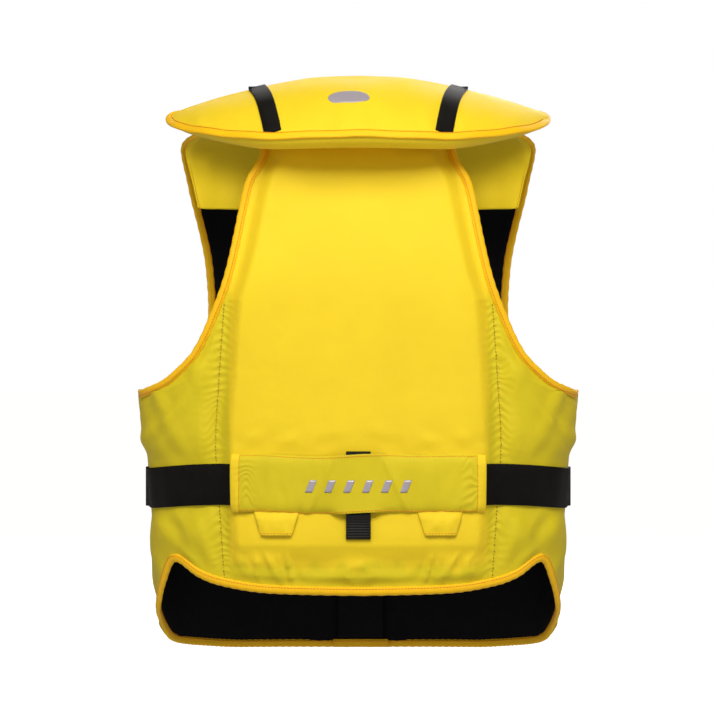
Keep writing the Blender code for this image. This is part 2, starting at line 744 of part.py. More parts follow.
def make_fronts():
    inset = BINDING_WIDTH + 2 * GAP
    for stem, lift, finish in (("front_outer_shell", front_rise, "yellow_fabric"),
                               ("front_lining", level(SKIN), "black_lining")):
        for name, place in both_sides(front_place(lift, inset, ZIP_INSET, inset, SEAM_TOP)):
            sheet(f"{stem}_{name}", FRONT_COLUMNS, ROWS, place, SKIN, finish)

    row = 1 / ROWS
    inside = front_place(level(-2 * GAP), inset, ZIP_INSET, inset, SEAM_TOP)
    for name, place in both_sides(part_of(inside, FACING_ROW * row, 1.0, -1.0, 1.0)):
        sheet(f"front_facing_{name}", FRONT_COLUMNS, ROWS - FACING_ROW, place, SKIN, "yellow_fabric")

    column = 2 / FRONT_COLUMNS
    region = (2 * row, 16 * row, -1 + 2 * column, 1 - column)
    surfaces = [part_of(front_place(level(lift), inset, ZIP_INSET, inset, SEAM_TOP), *region)
                for lift in (LOBE_OUTER, LOBE_INNER)]
    for name, outer, inner in (("right", *surfaces), ("left", *map(mirrored, surfaces))):
        pad(f"bladder_lobe_{name}", FRONT_COLUMNS - 3, 14, outer, inner, "bladder_film")

    for name, place in both_sides(reversed_across(armhole_strip(front_edge_angle, SEAM_TOP))):
        sheet(f"front_armhole_binding_{name}", 1, ARMHOLE_ROWS, place, BINDING_THICKNESS, "orange_binding")

    def hem(u, w):
        height = HEM[0][1] + (BINDING_WIDTH - GAP) * w
        angle = mix(math.pi - SIDE_ANGLE, zip_edge_angle(height, ZIP_INSET), 0.5 * (u + 1))
        height += hem_shift(angle, height)
        return torso(angle, height, BINDING_THICKNESS)
    for name, place in both_sides(hem):
        sheet(f"front_hem_binding_{name}", FRONT_COLUMNS, 1, place, BINDING_THICKNESS, "orange_binding")

    def chest(u, w):
        height = mix(*CHEST_PATCH_Z, w)
        x = mix(*CHEST_PATCH_X, 0.5 * (u + 1))
        angle = math.pi - angle_of(x, height)
        return torso(angle, height, front_rise(angle, height) + 4 * GAP)
    for name, place in both_sides(chest):
        sheet(f"chest_reflective_patch_{name}", 5, 3, place, TAPE_THICKNESS, "reflective_tape", side=1.0)


def make_zip():
    for name, side in (("right", 1), ("left", -1)):
        top = ZIP_TOP + (0.016 if side > 0 else 0.0)
        low = ZIP_BOTTOM - (0.003 if side > 0 else 0.0)
        box(f"zip_tape_{name}", (side * ZIP_TAPE_X, ZIP_Y, (top + low) / 2), (*ZIP_TAPE_SIZE, top - low),
            "black_webbing")
        make_teeth(f"zip_teeth_{name}", side)

    plate_y = CHAIN_THICKNESS
    ear_y = ZIP_Y + plate_y + 0.0018
    pull_y = ZIP_Y + plate_y + 0.0022
    ear_z = SLIDER_Z + 0.0035
    slider = box("zip_slider", (0, ZIP_Y + plate_y, SLIDER_Z), SLIDER_PLATE, "black_plastic")
    post = box("zip_slider_post", (0, ZIP_Y, ear_z), SLIDER_POST, "black_plastic", "cutters")
    back_plate = box("zip_slider_back", (0, ZIP_Y - plate_y, SLIDER_Z), SLIDER_PLATE, "black_plastic",
                     "cutters")
    ear = box("zip_slider_ear", (0, ear_y, ear_z), SLIDER_EAR, "black_plastic", "cutters")
    for piece in (post, back_plate, ear):
        cut(slider, piece, "UNION")
    box("zip_pull", (0, pull_y, SLIDER_Z - PULL_SIZE[2] / 2), PULL_SIZE, "black_plastic")


def make_teeth(name, side):
    """One row of teeth as a comb: an outline in the plane of the zip, given thickness."""
    count = int((ZIP_TOP - ZIP_BOTTOM) / TOOTH_PITCH)
    root = TOOTH_TIP + TOOTH_REACH + TOOTH_SPINE
    neck = TOOTH_TIP + TOOTH_REACH
    outline = [(root, 0.0), (root, count * TOOTH_PITCH)]
    for index in range(count, 0, -1):
        top = index * TOOTH_PITCH
        outline += [(TOOTH_TIP, top), (TOOTH_TIP, top - TOOTH_PITCH / 2), (neck, top - TOOTH_PITCH / 2)]
        outline += [(neck, top - TOOTH_PITCH)]
    bm = bmesh.new()
    corners = [bm.verts.new((side * x, 0.0, z)) for x, z in outline]
    bm.faces.new(corners)
    mesh = bpy.data.meshes.new(name)
    bm.to_mesh(mesh)
    bm.free()
    piece = new_object(name, mesh, "black_plastic")
    piece.location = (0, ZIP_Y, ZIP_BOTTOM)
    solid = piece.modifiers.new("thickness", "SOLIDIFY")
    solid.thickness = CHAIN_THICKNESS
    solid.offset = 0.0


# ================================================================ belt fronts and buckle
def make_belt_fronts():
    def belt(inner_x):
        def place(u, w):
            share = 0.5 * (u + 1)
            start = math.pi - SIDE_ANGLE
            height = BELT_SIDE_Z + (w - 0.5) * BELT_HEIGHT
            end = math.pi - angle_of(BELT_FLAT_FROM, height)
            if share < BELT_CURVED:
                angle = mix(start, end, share / BELT_CURVED)
                return torso(angle, height, max(EDGE_RISE, front_rise(angle, BELT_SIDE_Z)) + BELT_LIFT)
            bend = torso(end, height, front_rise(end, BELT_SIDE_Z) + BELT_LIFT)
            run = (share - BELT_CURVED) / (1 - BELT_CURVED)
            x = mix(bend.x, inner_x, run)
            y = mix(bend.y, BUCKLE_Y, smoothstep(0.0, 0.35, run))
            return Vector((x, y, bend.z))
        return place
    sheet("belt_front_right", 22, 1, belt(BELT_END_RIGHT), BELT_THICKNESS, "black_webbing", side=1.0)
    sheet("belt_front_left", 22, 1, mirrored(belt(BELT_END_LEFT)), BELT_THICKNESS, "black_webbing", side=1.0)


def make_buckle():
    centre_y = BUCKLE_Y + 0.0035
    tongue_y = centre_y + 0.0024
    male = box("buckle_male", (MALE_X, centre_y, BUCKLE_Z), MALE_SIZE, "black_plastic")
    channel = box("buckle_male_channel", (MALE_X, BUCKLE_Y + BELT_THICKNESS / 2, BUCKLE_Z), MALE_CHANNEL,
                  "black_plastic", "cutters")
    cut(male, channel)
    tongue = box("buckle_tongue", (TONGUE_X, tongue_y, BUCKLE_Z), TONGUE_SIZE, "black_plastic", "cutters")
    cut(male, tongue, "UNION")
    female = box("buckle_female", (FEMALE_X, centre_y + 0.0014, BUCKLE_Z), FEMALE_SIZE, "black_plastic")
    pocket = box("buckle_pocket", (FEMALE_X + POCKET_SHIFT, tongue_y, BUCKLE_Z), POCKET_SIZE, "black_plastic",
                 "cutters")
    cut(female, pocket)
    box("buckle_web_clamp", (CLAMP_X, BUCKLE_Y + 0.0045, BUCKLE_Z), CLAMP_SIZE, "black_plastic")


# ================================================================ inflation set, in the left front
def make_inflation_set():
    radius = CYLINDER_RADIUS
    bottom = -CYLINDER_LENGTH
    profile = [(0.0, 0.0), (0.50 * radius, -0.0008), (0.87 * radius, -0.0035), (radius, -0.0085),
               (radius, bottom + 0.014), (0.67 * radius, bottom + 0.006), (0.44 * radius, bottom + 0.003),
               (0.44 * radius, bottom), (0.0, bottom)]
    turned("co2_cylinder", profile, (CYLINDER_X, INFLATOR_Y, CYLINDER_TOP), "steel")
    body_top = CYLINDER_TOP - CYLINDER_LENGTH - GAP
    box("inflator_body", (CYLINDER_X, INFLATOR_Y, body_top - INFLATOR_SIZE[2] / 2), INFLATOR_SIZE,
        "black_plastic", bevel=0.0015)
    lever_x = CYLINDER_X + INFLATOR_SIZE[0] / 2 + 0.0045
    lever_z = body_top - 0.022
    knob_z = body_top - 0.0484
    box("inflator_lever", (lever_x, INFLATOR_Y, lever_z), LEVER_SIZE, "red_plastic", bevel=0.0008)
    box("pull_knob", (lever_x, INFLATOR_Y, knob_z), KNOB_SIZE, "red_plastic", bevel=0.0012)

    oral = [(ORAL_X, ORAL_Y, ORAL_TOP - ORAL_LENGTH * index / 8) for index in range(9)]
    tube("oral_inflation_tube", oral, ORAL_RADIUS, "black_plastic")
    turned("oral_tube_cap", CAP_PROFILE, (ORAL_X, ORAL_Y, ORAL_TOP), "white_plastic")
    flange_z = ORAL_TOP - ORAL_LENGTH - FLANGE_SIZE[2] / 2 - GAP
    box("oral_tube_flange", (ORAL_X, ORAL_Y, flange_z), FLANGE_SIZE, "black_plastic", bevel=0.001)
    make_whistle()


def make_whistle():
    holder_z = WHISTLE_BOTTOM + HOLDER_SIZE[2] / 2
    holder = box("whistle_holder", (WHISTLE_X, WHISTLE_Y, holder_z), HOLDER_SIZE, "black_plastic")
    pocket_size = (WHISTLE_SIZE[0] + 2 * GAP, WHISTLE_SIZE[1] + 2 * GAP, HOLDER_SIZE[2])
    pocket = box("whistle_pocket", (WHISTLE_X, WHISTLE_Y, holder_z + HOLDER_FLOOR), pocket_size,
                 "black_plastic", "cutters")
    cut(holder, pocket)
    whistle_z = WHISTLE_BOTTOM + HOLDER_FLOOR + GAP + WHISTLE_SIZE[2] / 2
    box("whistle", (WHISTLE_X, WHISTLE_Y, whistle_z), WHISTLE_SIZE, "white_plastic", bevel=0.001)


# ================================================================ assembly
def start():
    for old in list(bpy.data.objects):
        bpy.data.objects.remove(old, do_unlink=True)
    made = {}
    for key, title in (("parts", OBJECT_NAME), ("cutters", "cutters")):
        collection = bpy.data.collections.new(title)
        bpy.context.scene.collection.children.link(collection)
        made[key] = collection
    return made


COLLECTIONS = start()
make_back()
make_belt_back()
make_centre_loop()
make_collar()
make_fronts()
make_zip()
make_belt_fronts()
make_buckle()
make_inflation_set()
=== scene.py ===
"""Looks of the inflatable life jacket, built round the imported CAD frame.

Metres, +Z up, the wearer faces +Y. A place on the jacket is an angle round the body (0 at the middle of
the back, pi/2 at the right side seam, pi at the zip) and a height, as in the CAD part.
"""
import json
import math

import bmesh
import bpy
import numpy as np
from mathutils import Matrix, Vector

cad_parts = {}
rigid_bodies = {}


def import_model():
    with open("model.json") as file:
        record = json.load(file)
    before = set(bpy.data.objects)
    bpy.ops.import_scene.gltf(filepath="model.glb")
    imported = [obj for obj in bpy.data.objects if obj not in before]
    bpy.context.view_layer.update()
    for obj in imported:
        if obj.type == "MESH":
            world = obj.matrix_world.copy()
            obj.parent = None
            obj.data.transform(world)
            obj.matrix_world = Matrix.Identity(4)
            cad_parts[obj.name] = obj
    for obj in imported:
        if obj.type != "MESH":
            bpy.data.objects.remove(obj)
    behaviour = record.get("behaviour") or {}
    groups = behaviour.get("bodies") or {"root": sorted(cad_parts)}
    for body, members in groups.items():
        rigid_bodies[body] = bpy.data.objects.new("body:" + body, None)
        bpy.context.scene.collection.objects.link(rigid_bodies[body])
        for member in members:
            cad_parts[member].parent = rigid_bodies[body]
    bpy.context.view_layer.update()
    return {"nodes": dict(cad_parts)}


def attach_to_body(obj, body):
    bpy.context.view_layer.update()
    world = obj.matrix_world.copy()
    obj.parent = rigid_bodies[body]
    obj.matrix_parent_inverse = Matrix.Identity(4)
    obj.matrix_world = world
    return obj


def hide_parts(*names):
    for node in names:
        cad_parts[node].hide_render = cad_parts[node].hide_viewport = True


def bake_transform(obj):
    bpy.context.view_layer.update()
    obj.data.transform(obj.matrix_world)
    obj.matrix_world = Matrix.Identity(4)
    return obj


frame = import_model()
NODES = frame["nodes"]

# torso surface of the CAD part; the armholes, the hem and the sleeve are trimmed closer than the CAD's
ROUNDNESS = 2.5
SHOULDER_START = -0.07
SHOULDER_LINE = 0.04
NECK_HALF = 0.085
SHOULDER_SLOPE = 0.12
HALF_WIDTHS = [(-0.62, 0.227), (-0.53, 0.2285), (-0.44, 0.235), (-0.35, 0.2425), (-0.304, 0.2475),
               (-0.20, 0.244), (-0.10, 0.235), (0.04, 0.226)]
BACK_DEPTHS = [(-0.62, 0.128), (-0.53, 0.126), (-0.40, 0.126), (-0.20, 0.130), (-0.07, 0.112), (0.04, 0.105)]
FRONT_DEPTHS = [(-0.62, 0.135), (-0.13, 0.135), (-0.07, 0.110), (0.04, 0.090)]
BACK_ARMHOLE = [(-0.304, 0.2500), (-0.2995, 0.2370), (-0.2915, 0.2190), (-0.280, 0.2045), (-0.258, 0.184),
                (-0.219, 0.165), (-0.174, 0.1485), (-0.125, 0.1375), (-0.101, 0.1330), (-0.071, 0.1262),
                (-0.036, 0.1095), (0.0, 0.112), (0.04, 0.180)]
FRONT_ARMHOLE = [(-0.304, 0.2500), (-0.3005, 0.2360), (-0.292, 0.2140), (-0.272, 0.196), (-0.245, 0.1855),
                 (-0.210, 0.1785), (-0.162, 0.181), (-0.069, 0.199), (-0.016, 0.207), (0.04, 0.185)]
FRONT_NECK = [(-0.125, 0.012), (-0.09, 0.045), (-0.04, 0.072), (0.04, 0.086)]
SEAM_TOP = -0.203
PRINCESS_SEAM = [(-0.53, 0.147), (-0.435, 0.1535), (-0.362, 0.158), (-0.289, 0.154), (SEAM_TOP, 0.148)]
HEM_Z = -0.530
# how low the hem is, by degrees round the body
HEM = [(0, HEM_Z), (20, -0.528), (38, -0.520), (46, -0.513), (59, -0.4965), (70, -0.523), (80, -0.550),
       (90, -0.567), (100, -0.5845), (108, -0.5985), (116, -0.6045), (130, -0.6100), (147, -0.6145),
       (180, -0.6165)]
HEM_REACH = 0.16
UNDERARM = -0.304
UNDERARM_JOIN = 0.012
SIDE = math.pi / 2
SIDES = (("left", -1), ("right", 1))
FACING_HEIGHT = -0.089
ZIP_INSET = 0.016
BELT_HEIGHT = 0.046
BELT_BACK_Z = -0.407
BELT_SIDE_Z = -0.418
BELT_HIP_Z = -0.4150
SLEEVE_HALF = 0.1372
SLEEVE_TOP = -0.373
SLEEVE_BOTTOM = -0.438
BACK_TOP = 0.0
FRONT_TOP = SHOULDER_LINE - 0.0004

# cloth and tape
BINDING = 0.0098
TAPE_THICK = 0.0052
TAPE_CROWN = 0.0004
EDGE_LINE = 0.0010
STITCH_INSET = 0.0024
EDGE_INSET = 0.003
ZIP_EDGE_INSET = 0.0135
SHELL_THICK = 0.0008
LINING_THICK = 0.0006


# ================================================================ curves and noise
def curve_through(points):
    """Smooth curve through (position, value) points that never overshoots, for arrays."""
    xs, ys = np.array(points, float).T
    slopes = np.diff(ys) / np.diff(xs)
    lean = np.empty_like(ys)
    lean[0], lean[-1] = slopes[0], slopes[-1]
    for i in range(1, len(xs) - 1):
        a, b = slopes[i - 1], slopes[i]
        lean[i] = 0.0 if a * b <= 0 else 2 * a * b / (a + b)

    def value(at):
        at = np.clip(np.asarray(at, float), xs[0], xs[-1])
        k = np.clip(np.searchsorted(xs, at) - 1, 0, len(xs) - 2)
        step = xs[k + 1] - xs[k]
        t = (at - xs[k]) / step
        return ((2 * t**3 - 3 * t**2 + 1) * ys[k] + (t**3 - 2 * t**2 + t) * step * lean[k]
                + (3 * t**2 - 2 * t**3) * ys[k + 1] + (t**3 - t**2) * step * lean[k + 1])
    return value


half_width = curve_through(HALF_WIDTHS)
back_depth = curve_through(BACK_DEPTHS)
front_depth = curve_through(FRONT_DEPTHS)
back_armhole = curve_through(BACK_ARMHOLE)
front_armhole = curve_through(FRONT_ARMHOLE)
front_neck = curve_through(FRONT_NECK)
princess_seam = curve_through(PRINCESS_SEAM)
hem_curve = curve_through(HEM)


def smoothstep(low, high, value):
    t = np.clip((np.asarray(value, float) - low) / (high - low), 0, 1)
    return t * t * (3 - 2 * t)


def mix(a, b, t):
    return a + (b - a) * t


def lattice_noise(seed):
    """Smooth noise from -1 to 1 over two coordinates, one cell to a unit."""
    cells = 64
    table = np.random.default_rng(seed).uniform(-1, 1, (cells, cells))

    def value(u, v):
        u, v = np.asarray(u, float), np.asarray(v, float)
        i, j = np.floor(u).astype(int), np.floor(v).astype(int)
        a, b = u - i, v - j
        a, b = a * a * (3 - 2 * a), b * b * (3 - 2 * b)
        i, j, right, up = i % cells, j % cells, (i + 1) % cells, (j + 1) % cells
        low = table[i, j] * (1 - a) + table[right, j] * a
        high = table[i, up] * (1 - a) + table[right, up] * a
        return low * (1 - b) + high * b
    return value


noise_a = lattice_noise(11)
noise_b = lattice_noise(12)
noise_c = lattice_noise(13)


# ================================================================ torso surface
def signed_power(value, power):
    return np.sign(value) * np.abs(value) ** power


def torso_base(angle, height):
    angle, height = np.broadcast_arrays(np.asarray(angle, float), np.asarray(height, float))
    ramp = np.clip((height - SHOULDER_START) / (SHOULDER_LINE - SHOULDER_START), 0, 1)
    turn = SIDE * ramp
    share = np.cos(turn)
    depth = np.where(np.cos(angle) > 0, back_depth(height), front_depth(height)) * share
    x = half_width(height) * signed_power(np.sin(angle), 2 / ROUNDNESS)
    y = -depth * signed_power(np.cos(angle), 2 / ROUNDNESS)
    z = np.minimum(height, SHOULDER_START) - SHOULDER_START * np.sin(turn)
    z = z - SHOULDER_SLOPE * np.maximum(0.0, np.abs(x) - NECK_HALF) * (1 - share)
    return np.stack([x, y, z], -1)


def torso_normal(angle, height):
    step = 0.0006
    top = np.minimum(np.asarray(height, float) + step, SHOULDER_LINE)
    across = torso_base(angle + step, height) - torso_base(angle - step, height)
    upward = torso_base(angle, top) - torso_base(angle, top - 2 * step)
    return unit(np.cross(across, upward))


def unit(v):
    return v / np.maximum(1e-12, np.linalg.norm(v, axis=-1, keepdims=True))


def laid(angle, height, out):
    """Points at a distance above the torso surface, and the surface's normals there."""
    normals = torso_normal(angle, height)
    return torso_base(angle, height) + normals * np.asarray(out, float)[..., None], normals


def angle_of(x, height):
    share = np.clip(np.asarray(x, float) / half_width(height), 0, 1)
    return np.arcsin(share ** (ROUNDNESS / 2))


def signed_angle(x, height):
    return np.sign(x) * angle_of(np.abs(x), height)


def calm_edge(edge, height):
    """Edge angle without its jump at the underarm: the inner columns of a panel follow this one."""
    join = UNDERARM + UNDERARM_JOIN
    above = edge(np.full(height.shape, join))
    below = mix(SIDE, above, smoothstep(UNDERARM - 0.09, join, height))
    return np.where(height < join, below, edge(height))


def back_edge_angle(height, inset=EDGE_INSET):
    at = angle_of(np.maximum(back_armhole(height) - inset, 0.0), height)
    return np.where(height <= UNDERARM, SIDE, at)


def front_edge_angle(height, inset=EDGE_INSET):
    at = math.pi - angle_of(np.maximum(front_armhole(height) - inset, 0.0), height)
    return np.where(height <= UNDERARM, SIDE, at)


def zip_edge_angle(height, inset=ZIP_EDGE_INSET):
    x = np.where(height > FRONT_NECK[0][0], np.maximum(inset, front_neck(height)), inset)
    return math.pi - angle_of(x, height)


def hem_shift(angle, height):
    fade = 1 - smoothstep(0.0, HEM_REACH, height - HEM_Z)
    return (hem_curve(np.abs(np.degrees(angle))) - HEM_Z) * fade


# ================================================================ fabric relief
EDGE_RISE = 0.0026
LEAST_RISE = 0.0022
BACK_FILL = 0.0115
WING_FILL = 0.0045
STRIP_FILL = 0.0040
FRONT_FILL = 0.0275
ZIP_SIDE_RISE = 0.0058
CINCH = 0.0022
INSERT_END = -0.487
FOLD_DEPTH = 0.0040
HEM_FOLD_DEPTH = 0.0050
FINE_FOLD_DEPTH = 0.0010
UNDERARM_FOLD_DEPTH = 0.0022
GATHER_DEPTH = 0.0013
DENT_DEPTH = 0.0009
PUCKER_DEPTH = 0.0009
PUCKER_PITCH = 0.0085
FRONT_FOLD_DEPTH = 0.0016


def belt_height(angle):
    return mix(BELT_BACK_Z, BELT_HIP_Z, smoothstep(30, 85, np.abs(np.degrees(angle))))


def hem_fade(angle, height):
    """0 on the hem's band and 1 well above it."""
    hem = hem_curve(np.abs(np.degrees(angle)))
    return smoothstep(0.006, 0.022, height - hem)


def side_seam_fade(angle):
    """0 on the side seam, where back and front have to meet, and 1 a little way in."""
    return smoothstep(0.0, 0.16, SIDE - np.abs(angle))


def width_at(angle, height):
    """Distance from the middle plane."""
    return half_width(height) * np.abs(np.sin(angle)) ** (2 / ROUNDNESS)


def room_to_armhole(x, height):
    return back_armhole(height) - BINDING - x + 1.5 * np.maximum(0.0, UNDERARM - height)


def back_rise(angle, height):
    """Outer face of the back above the torso surface: filled middle, stitched valleys, thin bound edges."""
    x = width_at(angle, height)
    to_edge = room_to_armhole(x, height)
    to_seam = princess_seam(height) - x + 3 * np.maximum(0.0, height - SEAM_TOP)
    inside = smoothstep(0.003, 0.024, np.minimum(to_seam, to_edge))
    upright = smoothstep(INSERT_END - 0.014, INSERT_END + 0.016, height) * (1 - smoothstep(-0.05, 0.0, height))
    middle = BACK_FILL * inside * upright
    strapped = smoothstep(0.023, 0.060, np.abs(height - belt_height(angle)))
    wing = WING_FILL * smoothstep(0.0, 0.020, -to_seam) * smoothstep(0.0, 0.022, to_edge) * strapped
    wing = wing * side_seam_fade(angle)
    below = STRIP_FILL * (1 - smoothstep(INSERT_END - 0.010, INSERT_END + 0.010, height))
    below = below * smoothstep(0.0, 0.014, height - HEM_Z - 0.008) * smoothstep(0.0, 0.02, to_seam)
    cinch = CINCH * (1 - smoothstep(0.026, 0.060, np.abs(height - BELT_BACK_Z)))
    return EDGE_RISE + (middle + wing + below - cinch * inside) * hem_fade(angle, height)


def back_wrinkles(angle, height):
    """Folds, puckers and dents of the back, on top of its rise."""
    x = half_width(height) * signed_power(np.sin(angle), 2 / ROUNDNESS)
    ax = np.abs(x)
    to_seam = princess_seam(height) - ax
    low = height < SEAM_TOP
    strapped = smoothstep(0.020, 0.045, np.abs(height - belt_height(angle)))
    on_wing = smoothstep(0.0, 0.012, -to_seam) * low * (0.12 + 0.88 * strapped)
    # long soft folds of the wings, leaning towards the belt
    lean = (height - BELT_SIDE_Z) * 0.5
    folds = noise_a((ax + lean) / 0.022, height / 0.085 + 3) + 0.5 * noise_b((ax - lean) / 0.014, height / 0.05)
    out = FOLD_DEPTH * folds * on_wing
    # puckers along the stitched seams
    phase = 2 * math.pi * (height + 0.4 * np.abs(to_seam)) / PUCKER_PITCH
    pucker = np.sin(phase + 5 * noise_c(x / 0.012, height / 0.025))
    out = out + PUCKER_DEPTH * pucker * np.exp(-np.abs(to_seam) / 0.007) * low * (0.3 + 0.7 * strapped)
    # crossing folds between the insert's end and the hem
    zone = (1 - smoothstep(INSERT_END - 0.006, INSERT_END + 0.010, height)) * smoothstep(0.0, 0.03, to_seam)
    slant = ax * 0.75 - (0.60 + 0.25 * noise_c(x / 0.06, 2.5)) * height
    ridges = (1 - np.abs(noise_b(slant / 0.021 + 5, (ax + height) / 0.11 + 7))) ** 3
    fine = noise_a(slant / 0.010, (ax + height) / 0.05)
    out = out + (HEM_FOLD_DEPTH * ridges + FINE_FOLD_DEPTH * fine - 0.0016) * zone
    # dents of the filled middle
    middle = smoothstep(0.0, 0.03, to_seam) + (height > SEAM_TOP)
    out = out + DENT_DEPTH * noise_c(x / 0.055 + 9, height / 0.09) * np.minimum(middle, 1.0)
    # puckers where the sleeve is sewn down
    gather = np.exp(-((height - SLEEVE_TOP - 0.016) / 0.013) ** 2) * smoothstep(0.0, 0.03, to_seam)
    out = out + GATHER_DEPTH * noise_a(ax / 0.019 + 4, (height + 0.3 * ax) / 0.016) * gather
    # creases that run down from the underarm
    corner = np.exp(-((ax - 0.225) ** 2 + (height + 0.335) ** 2) / 0.0016)
    creases = noise_a((height * 0.8 + ax * 1.1) / 0.013, (height - ax) / 0.06)
    out = out + UNDERARM_FOLD_DEPTH * creases * corner
    bound = smoothstep(-0.002, 0.010, room_to_armhole(ax, height))
    return out * hem_fade(angle, height) * bound * side_seam_fade(angle)


def front_rise(angle, height):
    """Outer face of a front above the torso surface."""
    outer = front_edge_angle(height, 0.0)
    inner = zip_edge_angle(height, ZIP_INSET)
    share = np.clip((np.abs(angle) - outer) / (inner - outer), 0, 1)
    across = smoothstep(0.0, 0.32, share) * (1 - np.maximum(0.0, 2 * share - 1) ** 6)
    upright = smoothstep(-0.600, -0.520, height) * (1 - smoothstep(-0.15, -0.02, height))
    groove = 1 - 0.5 * (1 - smoothstep(0.034, 0.075, np.abs(height - BELT_SIDE_Z)))
    edge = mix(EDGE_RISE, ZIP_SIDE_RISE, smoothstep(0.0, 0.10, share))
    return edge + FRONT_FILL * across * upright * groove


def front_wrinkles(angle, height):
    """Upright folds at the belt, soft dents, and creases beside the armhole."""
    x = width_at(angle, height)
    arc = 0.2 * (math.pi - np.abs(angle))
    near_belt = np.exp(-((height - BELT_SIDE_Z) / 0.05) ** 2)
    upright = noise_a(arc / 0.014, height / 0.05) * near_belt * FRONT_FOLD_DEPTH
    soft = noise_b(arc / 0.045, height / 0.07 + 5) * FRONT_FOLD_DEPTH
    side = noise_c(arc / 0.02, (height + 0.4 * x) / 0.04) * 0.0011 * smoothstep(0.12, 0.22, x)
    return (upright + soft + side) * smoothstep(0.0, 0.16, np.abs(angle) - SIDE)


# ================================================================ meshes
def object_from(name, vertices, faces, uv, material):
    """Smooth-shaded object, with a place in metres on the cloth for each vertex if uv is given."""
    mesh = bpy.data.meshes.new(name)
    mesh.from_pydata([tuple(v) for v in vertices], [], [tuple(int(i) for i in f) for f in faces])
    if uv is not None:
        layer = mesh.uv_layers.new(name="metres")
        corners = np.empty(len(mesh.loops), np.int32)
        mesh.loops.foreach_get("vertex_index", corners)
        layer.data.foreach_set("uv", np.asarray(uv, np.float32)[corners].ravel())
    mesh.update()
    mesh.polygons.foreach_set("use_smooth", np.ones(len(mesh.polygons), bool))
    mesh.materials.append(material)
    piece = bpy.data.objects.new(name, mesh)
    bpy.context.scene.collection.objects.link(piece)
    return piece


def face_out(piece):
    bm = bmesh.new()
    bm.from_mesh(piece.data)
    bmesh.ops.recalc_face_normals(bm, faces=bm.faces)
    if bm.calc_volume(signed=True) < 0:
        bmesh.ops.reverse_faces(bm, faces=bm.faces)
    bm.to_mesh(piece.data)
    bm.free()
    return piece


def quads(index):
    """Faces between the neighbours in a grid of vertex numbers."""
    return np.stack([index[:-1, :-1], index[:-1, 1:], index[1:, 1:], index[1:, :-1]], -1).reshape(-1, 4)


def grid_uv(points):
    """Distances along and up a grid, in metres."""
    along = np.linalg.norm(np.diff(points, axis=1), axis=-1)
    up = np.linalg.norm(np.diff(points, axis=0), axis=-1)
    u = np.concatenate([np.zeros((points.shape[0], 1)), np.cumsum(along, 1)], 1)
    u = u - u[:, points.shape[1] // 2][:, None]
    v = np.concatenate([np.zeros((1, points.shape[1])), np.cumsum(up, 0)], 0)
    return np.stack([u, v], -1)


def slab(points, normals, thickness):
    """Vertices and faces of a closed sheet: an outer grid (rows upwards, columns to the right) and an inner."""
    rows, columns = points.shape[:2]
    count = rows * columns
    vertices = np.concatenate([points.reshape(-1, 3), (points - normals * thickness).reshape(-1, 3)])
    index = np.arange(count).reshape(rows, columns)
    rim = np.concatenate([index[0, :], index[1:, -1], index[-1, -2::-1], index[-2:0:-1, 0]])
    following = np.roll(rim, -1)
    sides = np.stack([rim, rim + count, following + count, following], -1)
    return vertices, np.concatenate([quads(index), quads(index + count)[:, [0, 3, 2, 1]], sides])


def cloth(name, points, normals, thickness, material):
    vertices, faces = slab(points, normals, thickness)
    uv = grid_uv(points).reshape(-1, 2)
    return object_from(name, vertices, faces, np.concatenate([uv, uv]), material)


def tube_faces(count, around, closed=False):
    """Faces of a row of rings: an endless loop, or a tube with both ends shut."""
    index = np.arange(count * around).reshape(count, around)
    if closed:
        index = np.concatenate([index, index[:1]])
    a, b = index[:-1], index[1:]
    faces = np.stack([a, b, np.roll(b, -1, 1), np.roll(a, -1, 1)], -1).reshape(-1, 4).tolist()
    return faces if closed else faces + [index[0].tolist(), index[-1][::-1].tolist()]


def run_of(path):
    """Length along a path up to each of its points."""
    return np.concatenate([[0], np.cumsum(np.linalg.norm(np.diff(path, axis=0), axis=1))])


def sampled(values, at, run):
    return np.stack([np.interp(at, run, values[:, k]) for k in range(3)], -1)


def resampled(path, spacing):
    run = run_of(path)
    count = max(2, int(round(run[-1] / spacing)) + 1)
    return sampled(path, np.linspace(0, run[-1], count), run)


def tangents(path):
    forward = np.gradient(path, axis=0)
    return forward / np.maximum(1e-12, np.linalg.norm(forward, axis=1, keepdims=True))


def sweep(name, centre, side, up, profile, material, closed=False):
    """A profile of (across, out) points swept along a line."""
    profile = np.asarray(profile, float)
    rings = centre[:, None] + side[:, None] * profile[None, :, :1] + up[:, None] * profile[None, :, 1:]
    uv = np.stack(np.broadcast_arrays(run_of(centre)[:, None], run_of(profile)[None, :]), -1).reshape(-1, 2)
    faces = tube_faces(*rings.shape[:2], closed)
    return face_out(object_from(name, rings.reshape(-1, 3), faces, uv, material))


def rounded_band(width, thickness, crown=0.0):
    """Closed profile of a flat band with round edges, centred on its underside's middle."""
    half, r = width / 2, thickness / 2
    corner = 4
    points = []
    for k in range(corner + 1):
        a = -math.pi / 2 + math.pi * k / corner
        points.append((half - r + r * math.cos(a), r + r * math.sin(a)))
    for k in range(1, 4):
        x = (half - r) * (1 - k / 2)
        points.append((x, thickness + crown * (1 - (x / half) ** 2)))
    for k in range(corner + 1):
        a = math.pi / 2 + math.pi * k / corner
        points.append((-half + r + r * math.cos(a), r + r * math.sin(a)))
    return points


